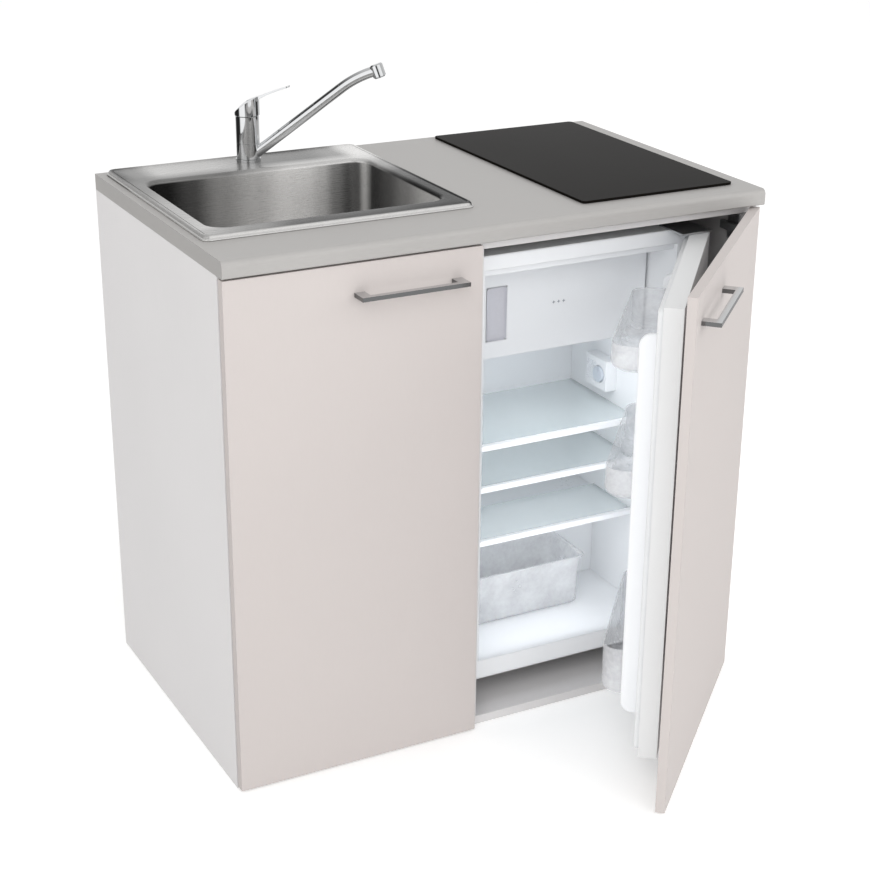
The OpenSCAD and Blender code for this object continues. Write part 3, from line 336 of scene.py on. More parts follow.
def make_drift():
    """A soft mask that changes slowly, with finer mottling on it."""
    group, w = new_group("Tone drift", (
        ("Stretch", "NodeSocketVector", (1.0, 1.0, 1.0)),
        ("Slow Scale", "NodeSocketFloat", 3.0),
        ("Fine Scale", "NodeSocketFloat", 160.0),
        ("Fine Share", "NodeSocketFloat", 0.35),
    ), (("Mask", "NodeSocketFloat"),))
    given, out = w.end("Input"), w.end("Output")
    place = w.node("TexCoord").outputs["Object"]
    along = w.vector("MULTIPLY", place, given.outputs["Stretch"])
    slow = w.spread(w.noise(place, given.outputs["Slow Scale"], 2.0, 0.5), 0.3, 0.7)
    fine = w.spread(w.noise(along, given.outputs["Fine Scale"], 3.0, 0.6), 0.3, 0.7)
    share = given.outputs["Fine Share"]
    mixed = w.maths("ADD", w.maths("MULTIPLY", slow, w.maths("SUBTRACT", 1.0, share)),
                    w.maths("MULTIPLY", fine, share))
    w.join(mixed, out.inputs["Mask"])
    return group


def make_edge_wear():
    """A mask that is high on rubbed edges."""
    group, w = new_group("Edge wear", (
        ("Edge Radius", "NodeSocketFloat", 0.002),
        ("Patch Scale", "NodeSocketFloat", 60.0),
    ), (("Mask", "NodeSocketFloat"),))
    given, out = w.end("Input"), w.end("Output")
    edge = w.node("Bevel", samples=4)
    w.join(given.outputs["Edge Radius"], edge.inputs["Radius"])
    shape = w.node("NewGeometry")
    turn = w.vector("DOT_PRODUCT", edge.outputs["Normal"], shape.outputs["True Normal"])
    near = w.spread(turn, 0.995, 0.80)
    patch = w.spread(w.noise(w.node("TexCoord").outputs["Object"],
                             given.outputs["Patch Scale"], 3.0), 0.42, 0.62)
    w.join(w.maths("MULTIPLY", near, patch), out.inputs["Mask"])
    return group


def make_brush_lines():
    """Fine lines of brushed or rolled metal: a mask and the height for a bump."""
    group, w = new_group("Brush lines", (
        ("Stretch", "NodeSocketVector", (4.0, 300.0, 300.0)),
        ("Scale", "NodeSocketFloat", 9.0),
    ), (("Mask", "NodeSocketFloat"), ("Height", "NodeSocketFloat")))
    given, out = w.end("Input"), w.end("Output")
    place = w.node("TexCoord").outputs["Object"]
    along = w.vector("MULTIPLY", place, given.outputs["Stretch"])
    lines = w.noise(along, given.outputs["Scale"], 4.0, 0.65)
    w.join(w.spread(lines, 0.3, 0.7), out.inputs["Mask"])
    w.join(w.maths("MULTIPLY", lines, 0.00002), out.inputs["Height"])
    return group


def make_smudges():
    """Faint handling marks and dust, as a mask."""
    group, w = new_group("Smudges", (
        ("Scale", "NodeSocketFloat", 22.0),
        ("Cover", "NodeSocketFloat", 0.5),
    ), (("Mask", "NodeSocketFloat"),))
    given, out = w.end("Input"), w.end("Output")
    place = w.node("TexCoord").outputs["Object"]
    clouds = w.noise(place, given.outputs["Scale"], 5.0, 0.6)
    low = w.maths("SUBTRACT", 0.75, w.maths("MULTIPLY", given.outputs["Cover"], 0.4))
    w.join(w.spread(clouds, low, 0.82), out.inputs["Mask"])
    return group


def ramp_of(w, value, stops):
    """A grey that follows value through stops of (place, grey), smoothly."""
    made = w.node("ValToRGB")
    made.color_ramp.interpolation = "EASE"
    for index, (at, grey) in enumerate(stops):
        stop = made.color_ramp.elements[index] if index < 2 else made.color_ramp.elements.new(at)
        stop.position = at
        stop.color = (grey, grey, grey, 1.0)
    w.join(value, made.inputs["Fac"])
    return made.outputs["Color"]


# The sink's rim, as its lower and upper corner seen from above
SINK_RIM = (-0.486, -0.190, -0.008, 0.288)
# Painted reflections on the sink's steel: the dark and light bands that the studio mirrors, as (place, grey); places
# run from left to right on the back wall and on the back and front rim, and from front to back on the right wall and
# on the side rims
SINK_PAINTED_REFLECTIONS = {
    "back wall": ((0.0, 0.005), (0.15, 0.005), (0.25, 0.08), (0.36, 0.34), (0.50, 0.62),
                  (0.62, 1.0), (0.70, 1.0), (0.76, 0.80), (0.82, 0.36), (0.87, 0.16),
                  (0.905, 0.14), (0.93, 0.90), (0.96, 0.40)),
    "right wall": ((0.08, 0.80), (0.22, 0.60), (0.42, 0.26), (0.55, 0.12), (0.66, 0.07),
                   (0.72, 0.12), (0.76, 0.60)),
    "left rim": ((0.0, 0.62), (0.35, 0.50), (0.70, 0.26), (0.92, 0.10)),
    "right rim": ((0.05, 0.005), (0.33, 0.01), (0.50, 0.10), (0.66, 0.42), (0.80, 0.80), (1.0, 0.95)),
    "back rim": ((0.0, 0.06), (0.08, 0.26), (0.17, 0.62), (0.34, 0.56), (0.50, 0.40), (0.56, 0.16),
                 (0.74, 0.14), (0.86, 0.30), (0.94, 0.90)),
    "front rim": ((0.0, 0.50), (0.20, 0.30), (0.35, 0.10), (0.50, 0.08), (0.68, 0.06), (0.84, 0.03),
                  (0.94, 0.005)),
}
# Painted reflections: one grey for the bowl's unseen walls and one for the rim's bead
PLAIN_WALL_PAINTED_REFLECTION = 0.85
BEAD_PAINTED_REFLECTION = 0.72


def make_painted_steel_reflections():
    """Painted reflections: the soft dark and light bands that a studio mirrors in the sink, painted into its colour
    and bound to its own shape.
    """
    group, w = new_group("Painted steel reflections", (), (("Tone", "NodeSocketFloat"),))
    out = w.end("Output")
    place = w.node("SeparateXYZ")
    w.join(w.node("TexCoord").outputs["Object"], place.inputs[0])
    x, y, z = (place.outputs[k] for k in "XYZ")
    x0, y0, x1, y1 = SINK_RIM
    across = w.spread(x, x0, x1)
    along = w.spread(y, y0, y1)

    def either(mask, low, high):
        made = w.node("Mix", data_type="FLOAT")
        w.feed(made, mask, None, None)
        for socket, value in zip(made.inputs[2:4], (low, high)):
            if isinstance(value, bpy.types.NodeSocket):
                w.join(value, socket)
            else:
                socket.default_value = value
        return made.outputs[0]

    back_wall = ramp_of(w, across, SINK_PAINTED_REFLECTIONS["back wall"])
    right_wall = ramp_of(w, along, SINK_PAINTED_REFLECTIONS["right wall"])
    other_walls = either(w.spread(x, -0.085, -0.058), PLAIN_WALL_PAINTED_REFLECTION, right_wall)
    bowl = either(w.spread(y, 0.140, 0.166), other_walls, back_wall)
    left_rim = ramp_of(w, along, SINK_PAINTED_REFLECTIONS["left rim"])
    right_rim = ramp_of(w, along, SINK_PAINTED_REFLECTIONS["right rim"])
    back_rim = ramp_of(w, across, SINK_PAINTED_REFLECTIONS["back rim"])
    front_rim = ramp_of(w, across, SINK_PAINTED_REFLECTIONS["front rim"])
    sides = either(w.spread(x, -0.300, -0.180), left_rim, right_rim)
    rim = either(w.spread(y, 0.176, 0.215), either(w.spread(y, -0.143, -0.152), sides, front_rim), back_rim)
    reach = w.maths("MAXIMUM", w.maths("ABSOLUTE", w.maths("ADD", x, 0.247)),
                    w.maths("ABSOLUTE", w.maths("ADD", y, -0.049)))
    beaded = either(w.spread(reach, 0.2335, 0.2355), rim, BEAD_PAINTED_REFLECTION)
    w.join(either(w.spread(z, 0.9285, 0.9310), bowl, beaded), out.inputs["Tone"])
    return group


GROUPS = {}


def shared(name, maker):
    if name not in GROUPS:
        GROUPS[name] = maker()
    return GROUPS[name]


def effect(w, name, **values):
    """Places a shared effect in a material, with that material's own values."""
    makers = {"relief": make_relief, "drift": make_drift, "wear": make_edge_wear,
              "brush": make_brush_lines, "smudges": make_smudges, "bands": make_painted_steel_reflections}
    made = w.node("Group")
    made.node_tree = shared(name, makers[name])
    for key, value in values.items():
        made.inputs[key.replace("_", " ").title()].default_value = value
    return made


def finish(name, light, dark, rough, metallic=0.0, grain=(1.0, 1.0, 1.0), drift=(3.0, 160.0, 0.35),
           relief=(0.0008, 900.0, 0.00002, 9.0, 0.00003), wear=None, **shader_values):
    """A material with two tones that drift into each other, a roughness that drifts and a relief."""
    made = bpy.data.materials.new(name)
    made.use_nodes = True
    w = Wiring(made.node_tree)
    shader = made.node_tree.nodes["Principled BSDF"]
    tone = effect(w, "drift", stretch=grain, slow_scale=drift[0], fine_scale=drift[1], fine_share=drift[2])
    colour = w.node("Mix", data_type="RGBA")
    w.join(tone.outputs["Mask"], colour.inputs[0])
    colour.inputs[6].default_value = (*dark, 1.0)
    colour.inputs[7].default_value = (*light, 1.0)
    result = colour.outputs[2]
    if wear:
        worn = w.node("Mix", data_type="RGBA")
        w.join(effect(w, "wear", edge_radius=wear[1]).outputs["Mask"], worn.inputs[0])
        w.join(result, worn.inputs[6])
        worn.inputs[7].default_value = (*wear[0], 1.0)
        result = worn.outputs[2]
    w.join(result, shader.inputs["Base Color"])
    w.join(w.spread(tone.outputs["Mask"], 0.0, 1.0, rough[0], rough[1]), shader.inputs["Roughness"])
    shape = effect(w, "relief", edge_radius=relief[0], stretch=grain, fine_scale=relief[1],
                   fine_height=relief[2], wave_scale=relief[3], wave_height=relief[4])
    w.join(shape.outputs["Normal"], shader.inputs["Normal"])
    shader.inputs["Metallic"].default_value = metallic
    for key, value in shader_values.items():
        shader.inputs[key.replace("_", " ").title().replace("Ior", "IOR")].default_value = value
    return made


def darker(colour, share):
    return tuple(c * share for c in colour)


# ---- Pieces ----

class KITCHENETTE_OT_stage(bpy.types.Operator):
    """Lays the pale floor, the soft light and the camera at the photograph's angle"""
    bl_idname = "kitchenette.stage"
    bl_label = "Stage"

    def execute(self, context):
        look = context.scene.kitchenette_stage
        floor = skin("studio_floor", [hoop(0, 0, r, -0.0004) for r in (9.0, 5.0, 2.0, 0.5)], last=True)
        for face in floor.data.polygons:
            if face.normal.z < 0:
                floor.data.flip_normals()
                break
        floor.data.materials.append(self.floor_finish(look.floor))
        floor.visible_glossy = False
        self.world()
        self.lamp("soft_key", (-2.6, -3.2, 3.6), (0.0, -0.1, 0.5), look.softness, 52.0)
        self.lamp("soft_front", (0.6, -4.2, 1.9), (0.1, 0.0, 0.45), look.softness * 0.75, 30.0)
        self.lamp("soft_right", (3.4, -1.8, 2.2), (0.3, -0.2, 0.5), look.softness * 0.6, 26.0)
        self.camera(context)
        view = context.scene.view_settings
        view.view_transform = "Standard"
        view.look = "None"
        return {"FINISHED"}

    def floor_finish(self, colour):
        return finish("studio_floor", colour, darker(colour, 0.985), (0.6, 0.7), drift=(0.6, 30.0, 0.2),
                      relief=(0.0, 200.0, 0.00001, 2.0, 0.00001), emission_color=(1.0, 1.0, 1.0, 1.0),
                      emission_strength=0.22)

    def lamp(self, name, place, target, size, power):
        light = bpy.data.lights.new(name, "AREA")
        light.shape = "DISK"
        light.size = size
        light.energy = power
        lamp = bpy.data.objects.new(name, light)
        lamp.location = place
        lamp.rotation_euler = (Vector(target) - Vector(place)).to_track_quat("-Z", "Y").to_euler()
        lamp.visible_glossy = False
        bpy.context.scene.collection.objects.link(lamp)

    def world(self):
        """White all round for matt surfaces, and for mirrors white with a few dark flags."""
        world = bpy.data.worlds.new("soft_studio")
        bpy.context.scene.world = world
        world.use_nodes = True
        w = Wiring(world.node_tree)
        plain = world.node_tree.nodes["Background"]
        plain.inputs["Color"].default_value = (1.0, 1.0, 1.0, 1.0)
        plain.inputs["Strength"].default_value = 0.86
        way = w.node("SeparateXYZ")
        w.join(w.node("TexCoord").outputs["Generated"], way.inputs[0])
        turn = w.maths("FRACT", w.maths(
            "DIVIDE", w.maths("ARCTAN2", way.outputs["Y"], way.outputs["X"]), tau))
        bands = w.node("ValToRGB")
        ramp = bands.color_ramp
        stops = ((0.0, 0.60), (0.10, 0.55), (0.15, 0.85), (0.20, 0.95), (0.26, 0.80), (0.31, 0.05), (0.34, 0.02),
                 (0.47, 0.02), (0.50, 0.95), (0.63, 1.0), (0.655, 0.03), (0.70, 0.03), (0.725, 0.85), (0.84, 0.95),
                 (0.90, 0.45), (1.0, 0.60))
        for index, (at, value) in enumerate(stops):
            stop = ramp.elements[index] if index < 2 else ramp.elements.new(at)
            stop.position = at
            stop.color = (value, value, value, 1.0)
        w.join(turn, bands.inputs["Fac"])
        high = w.spread(way.outputs["Z"], 0.52, 0.75)
        lifted = w.node("Mix", data_type="RGBA")
        w.join(high, lifted.inputs[0])
        w.join(bands.outputs["Color"], lifted.inputs[6])
        lifted.inputs[7].default_value = (0.55, 0.55, 0.55, 1.0)
        mirror = w.node("Background")
        w.join(lifted.outputs[2], mirror.inputs["Color"])
        mirror.inputs["Strength"].default_value = 1.0
        rays = w.node("LightPath")
        choice = w.node("MixShader")
        w.join(rays.outputs["Is Glossy Ray"], choice.inputs[0])
        w.join(plain.outputs[0], choice.inputs[1])
        w.join(mirror.outputs[0], choice.inputs[2])
        seen = w.node("Background")
        seen.inputs["Color"].default_value = (1.0, 1.0, 1.0, 1.0)
        seen.inputs["Strength"].default_value = 1.0
        last = w.node("MixShader")
        w.join(rays.outputs["Is Camera Ray"], last.inputs[0])
        w.join(choice.outputs[0], last.inputs[1])
        w.join(seen.outputs[0], last.inputs[2])
        w.join(last.outputs[0], world.node_tree.nodes["World Output"].inputs["Surface"])

    def camera(self, context):
        """The photograph's view, solved from the cabinet's edges."""
        az, el, roll = -0.494688807, 0.401774730, 0.0117585150
        focal, cx, cy, size = 1831.59956, 452.747951, 468.610774, 870.0
        ahead = Vector((-sin(az) * cos(el), cos(az) * cos(el), -sin(el)))
        right = Vector((cos(az), sin(az), 0.0))
        up = right.cross(ahead)
        right, up = right * cos(roll) + up * sin(roll), -right * sin(roll) + up * cos(roll)
        data = bpy.data.cameras.new("photo_view")
        data.sensor_width = 36.0
        data.lens = 36.0 * focal / size
        data.shift_x = (size / 2 - cx) / size
        data.shift_y = (cy - size / 2) / size
        data.clip_end = 60.0
        camera = bpy.data.objects.new("photo_view", data)
        place = Vector((-1.43749761, -2.76846742, 1.71229209))
        camera.matrix_world = Matrix((
            (right.x, up.x, -ahead.x, place.x),
            (right.y, up.y, -ahead.y, place.y),
            (right.z, up.z, -ahead.z, place.z),
            (0.0, 0.0, 0.0, 1.0)))
        context.scene.collection.objects.link(camera)
        context.scene.camera = camera


class KITCHENETTE_OT_boards(bpy.types.Operator):
    """Finishes the carcass, its back and its dowels"""
    bl_idname = "kitchenette.boards"
    bl_label = "Carcass"

    def execute(self, context):
        look = context.scene.kitchenette_cabinet
        radius = look.edge_radius
        board = finish("melamine_carcass", look.board, darker(look.board, 0.965), (0.50, 0.60),
                       grain=(1.0, 1.0, 0.05), drift=(2.5, 240.0, 0.45),
                       relief=(radius, 700.0, 0.000035, 6.0, 0.00004), specular_ior_level=0.35)
        dress(board, "left_side", "right_side", "partition", "bottom_board", "front_rails", "back_rails")
        dress(finish("painted_hardboard", (0.60, 0.585, 0.55), (0.52, 0.50, 0.47), (0.6, 0.75),
                     drift=(5.0, 400.0, 0.5), relief=(0.0003, 1600.0, 0.00006, 14.0, 0.0001)), "back_panel")
        dress(finish("beech_dowel", (0.72, 0.53, 0.33), (0.55, 0.37, 0.20), (0.55, 0.7), grain=(1.0, 0.1, 1.0),
                     drift=(20.0, 300.0, 0.6), relief=(0.0003, 900.0, 0.00005, 30.0, 0.00003)), "dowels")
        return {"FINISHED"}


class KITCHENETTE_OT_worktop(bpy.types.Operator):
    """Finishes the laminated worktop"""
    bl_idname = "kitchenette.worktop"
    bl_label = "Worktop"

    def execute(self, context):
        look = context.scene.kitchenette_cabinet
        top = look.worktop
        made = finish("laminate_top", top, darker(top, 0.90), (0.36, 0.46), grain=(0.12, 1.0, 1.0),
                      drift=(4.0, 420.0, 0.6), relief=(0.0006, 1500.0, 0.000022, 7.0, 0.00003),
                      wear=(darker(top, 1.08), 0.0016), specular_ior_level=0.5)
        dress(made, "worktop")
        return {"FINISHED"}


class KITCHENETTE_OT_sink(bpy.types.Operator):
    """Presses the sink from one sheet, with a rolled rim and rounded bowl, and finishes its waste"""
    bl_idname = "kitchenette.sink"
    bl_label = "Sink"

    def execute(self, context):
        look = context.scene.kitchenette_metal
        steel = self.steel(look.steel)
        x0, y0, x1, y1 = SINK_RIM
        bx0, by0, bx1, by1 = -0.454, -0.146, -0.040, 0.176
        top, floor = 0.936, 0.7872
        bead = look.rim_bead

        def rim(inset, z, r):
            return ring(x0 + inset, y0 + inset, x1 - inset, y1 - inset, r, z, 10, 10)

        def bowl(grow, z, r):
            return ring(bx0 - grow, by0 - grow, bx1 + grow, by1 + grow, r, z, 10, 10)

        loops = [rim(0.0004, 0.9284, 0.0136), rim(0.0, 0.9292, 0.014), rim(0.0004, 0.9304, 0.0136),
                 rim(0.0014, 0.9312, 0.0128), rim(0.0026, 0.9316, 0.012)]
        for step in range(9):
            a = radians(180 - 22.5 * step)
            loops.append(rim(0.0062 + 0.0034 * cos(a), 0.9325 + (0.0035 + bead) * sin(a), 0.0115))
        loops[-1] = rim(0.0096, top + 0.0002, 0.0100)
        loops += [rim(0.0108, top - 0.0003, 0.0095), rim(0.0125, top, 0.009)]
        loops += [bowl(0.0125, top, 0.0400), bowl(0.0092, top, 0.0385)]
        for step in range(8):
            a = radians(90 * step / 7)
            loops.append(bowl(0.0075 - 0.0075 * sin(a), top - 0.0075 * (1 - cos(a)),
                              0.0375 - 0.0065 * sin(a)))
        fillet = look.bowl_fillet
        loops.append(bowl(-0.0008, top - 0.07, 0.0305))
        loops.append(bowl(-0.0012, floor + fillet + 0.004, 0.030))
        for step in range(1, 9):
            a = radians(90 * step / 8)
            shrink = fillet * (1 - cos(a))
            loops.append(bowl(-0.0012 - shrink, floor + 0.004 + fillet * (1 - sin(a)), 0.030))
        for share in (0.25, 0.5, 0.75, 1.0):
            wide = bowl(-0.0012 - fillet, floor + 0.004, 0.030)
            drain = hoop(-0.247, 0.015, 0.0372, floor + 0.0006, 10, 10)
            loops.append([a.lerp(b, share) for a, b in zip(wide, drain)])
        loops.append(hoop(-0.247, 0.015, 0.0260, floor - 0.0014, 10, 10))
        sink = skin("pressed_sink", loops)
        smooth(sink, 60)
        sheet = sink.modifiers.new("Sheet", "SOLIDIFY")
        sheet.thickness = 0.0009
        sheet.offset = -1.0
        fitted(sink, "carcass", steel, "stainless", "sink_bowl")
        dress(steel, "sink_clips")
        chrome = chrome_finish(look.chrome)
        dress(chrome, "waste_flange", "sink_plug")
        plastic = finish("trap_plastic", (0.80, 0.80, 0.78), (0.74, 0.74, 0.72), (0.35, 0.5),
                         relief=(0.001, 500.0, 0.00003, 20.0, 0.00003))
        dress(plastic, "tail_pipe", "bottle_trap", "outlet_pipe")
        return {"FINISHED"}

    def steel(self, colour):
        made = bpy.data.materials.new("brushed_sink_steel")
        made.use_nodes = True
        w = Wiring(made.node_tree)
        shader = made.node_tree.nodes["Principled BSDF"]
        lines = effect(w, "brush", stretch=(6.0, 260.0, 260.0), scale=6.0)
        marks = effect(w, "smudges", scale=14.0, cover=0.4)
        # Painted reflections: the colour runs from almost black to the steel's own colour along the painted bands
        tone = w.node("Mix", data_type="RGBA")
        w.join(effect(w, "bands").outputs["Tone"], tone.inputs[0])
        tone.inputs[6].default_value = (*darker(colour, 0.01), 1.0)
        tone.inputs[7].default_value = (*colour, 1.0)
        brushed = w.node("Mix", data_type="RGBA", blend_type="MULTIPLY")
        brushed.inputs[0].default_value = 1.0
        w.join(tone.outputs[2], brushed.inputs[6])
        w.join(w.spread(lines.outputs["Mask"], 0.0, 1.0, 0.96, 1.0), brushed.inputs[7])
        w.join(brushed.outputs[2], shader.inputs["Base Color"])
        rough = w.maths("ADD", w.spread(lines.outputs["Mask"], 0.0, 1.0, 0.24, 0.32),
                        w.maths("MULTIPLY", marks.outputs["Mask"], 0.08))
        w.join(rough, shader.inputs["Roughness"])
        bump = w.node("Bump")
        bump.inputs["Strength"].default_value = 0.10
        bump.inputs["Distance"].default_value = 1.0
        w.join(lines.outputs["Height"], bump.inputs["Height"])
        w.join(bump.outputs["Normal"], shader.inputs["Normal"])
        shader.inputs["Metallic"].default_value = 0.55
        shader.inputs["Specular IOR Level"].default_value = 0.15
        shader.inputs["Anisotropic"].default_value = 0.4
        return made


def chrome_finish(colour, name="polished_chrome"):
    """Polished chrome with faint water marks, made once."""
    if name in bpy.data.materials:
        return bpy.data.materials[name]
    made = bpy.data.materials.new(name)
    made.use_nodes = True
    w = Wiring(made.node_tree)
    shader = made.node_tree.nodes["Principled BSDF"]
    marks = effect(w, "smudges", scale=60.0, cover=0.6)
    tone = w.node("Mix", data_type="RGBA")
    w.join(marks.outputs["Mask"], tone.inputs[0])
    tone.inputs[6].default_value = (*colour, 1.0)
    tone.inputs[7].default_value = (*darker(colour, 0.93), 1.0)
    w.join(tone.outputs[2], shader.inputs["Base Color"])
    w.join(w.spread(marks.outputs["Mask"], 0.0, 1.0, 0.035, 0.10), shader.inputs["Roughness"])
    shape = effect(w, "relief", edge_radius=0.0007, fine_scale=400.0, fine_height=0.0000015,
                   wave_scale=30.0, wave_height=0.00001)
    w.join(shape.outputs["Normal"], shader.inputs["Normal"])
    shader.inputs["Metallic"].default_value = 1.0
    return made


def bar_painted_reflection_finish(colour):
    """Chrome of the flat handles with painted reflections: upper faces are painted lighter as if catching the light,
    upright faces darker as if mirroring the dark.
    """
    made = bpy.data.materials.new("handle_chrome_painted_reflections")
    made.use_nodes = True
    w = Wiring(made.node_tree)
    shader = made.node_tree.nodes["Principled BSDF"]
    marks = effect(w, "smudges", scale=50.0, cover=0.7)
    slope = w.node("SeparateXYZ")
    w.join(w.node("NewGeometry").outputs["Normal"], slope.inputs[0])
    # Painted reflection: the colour goes from dark on upright faces to lighter on upward faces
    tone = w.node("Mix", data_type="RGBA")
    w.join(w.spread(slope.outputs["Z"], 0.1, 0.8), tone.inputs[0])
    tone.inputs[6].default_value = (*darker(colour, 0.22), 1.0)
    tone.inputs[7].default_value = (*darker(colour, 0.70), 1.0)
    w.join(tone.outputs[2], shader.inputs["Base Color"])
    w.join(w.spread(marks.outputs["Mask"], 0.0, 1.0, 0.10, 0.20), shader.inputs["Roughness"])
    shape = effect(w, "relief", edge_radius=0.0008, fine_scale=400.0, fine_height=0.0000015,
                   wave_scale=30.0, wave_height=0.00001)
    w.join(shape.outputs["Normal"], shader.inputs["Normal"])
    shader.inputs["Metallic"].default_value = 1.0
    return made


def zinc_finish(colour):
    if "zinc_plate" in bpy.data.materials:
        return bpy.data.materials["zinc_plate"]
    return finish("zinc_plate", colour, darker(colour, 0.8), (0.28, 0.42), metallic=1.0, drift=(30.0, 500.0, 0.4),
                  relief=(0.0005, 900.0, 0.000015, 40.0, 0.00002))


class KITCHENETTE_OT_tap(bpy.types.Operator):
    """Finishes the single-lever tap"""
    bl_idname = "kitchenette.tap"
    bl_label = "Tap"

    def execute(self, context):
        look = context.scene.kitchenette_metal
        dress(chrome_finish(look.chrome), "tap_base", "tap_body", "tap_spout", "tap_lever")
        dress(zinc_finish(look.zinc), "tap_aerator")
        dress(finish("plain_brass", (0.72, 0.56, 0.27), (0.60, 0.45, 0.20), (0.25, 0.4), metallic=1.0,
                     drift=(30.0, 300.0, 0.5)), "tap_nut")
        dress(finish("white_ceramic", (0.80, 0.79, 0.75), (0.72, 0.71, 0.67), (0.4, 0.55),
                     drift=(30.0, 400.0, 0.5)), "tap_cartridge", "tap_hub")
        return {"FINISHED"}


class KITCHENETTE_OT_hob(bpy.types.Operator):
    """Finishes the glass hob and what is under it"""
    bl_idname = "kitchenette.hob"
    bl_label = "Hob"

    def execute(self, context):
        look = context.scene.kitchenette_metal
        glass = finish("black_glass_ceramic", (0.010, 0.0085, 0.0075), (0.008, 0.007, 0.006), (0.16, 0.24),
                       drift=(5.0, 300.0, 0.3), relief=(0.0012, 500.0, 0.000004, 5.0, 0.00001),
                       specular_ior_level=0.008)
        dress(glass, "hob_glass")
        dress(finish("seal_rubber", (0.045, 0.045, 0.046), (0.03, 0.03, 0.031), (0.6, 0.8),
                     drift=(20.0, 500.0, 0.5)), "hob_seal")
        dress(zinc_finish(look.zinc), "hob_case", "hob_clips")
        dress(finish("fibre_ceramic", (0.74, 0.72, 0.68), (0.62, 0.60, 0.56), (0.7, 0.85), drift=(30.0, 600.0, 0.6),
                     relief=(0.001, 900.0, 0.0001, 40.0, 0.0001)), "hob_heaters")
        dress(finish("board_green", (0.06, 0.22, 0.10), (0.04, 0.15, 0.07), (0.3, 0.45),
                     drift=(40.0, 500.0, 0.4)), "hob_board")
        return {"FINISHED"}


class KITCHENETTE_OT_fronts(bpy.types.Operator):
    """Finishes the two fronts with their handles and hinges"""
    bl_idname = "kitchenette.fronts"
    bl_label = "Fronts"

    def execute(self, context):
        look = context.scene.kitchenette_cabinet
        metal = context.scene.kitchenette_metal
        front = finish("melamine_front", look.front, darker(look.front, 0.97), (0.42, 0.52),
                       grain=(1.0, 1.0, 0.25), drift=(2.0, 300.0, 0.35),
                       relief=(look.edge_radius, 1100.0, 0.00002, 5.0, 0.00004), specular_ior_level=0.38)
        dress(front, "left_door", "fridge_front")
        dress(bar_painted_reflection_finish(metal.chrome), "left_handle", "right_handle")
        dress(chrome_finish(metal.chrome), "left_hinge_cups", "right_hinge_cups")
        dress(zinc_finish(metal.zinc), "left_handle_screws", "right_handle_screws", "hinge_plates", "drag_bracket")
        dress(finish("dark_nickel", (0.34, 0.345, 0.35), (0.24, 0.245, 0.25), (0.32, 0.45), metallic=0.7,
                     drift=(30.0, 400.0, 0.4)), "hinge_arms")
        dress(finish("link_plastic", (0.78, 0.78, 0.76), (0.72, 0.72, 0.70), (0.4, 0.5)), "drag_rail")
        dress(finish("dark_plastic", (0.060, 0.060, 0.064), (0.040, 0.040, 0.043), (0.45, 0.6),
                     drift=(20.0, 500.0, 0.5), relief=(0.0006, 900.0, 0.00004, 20.0, 0.00003)),
              "drag_slider", "fridge_feet")
        return {"FINISHED"}


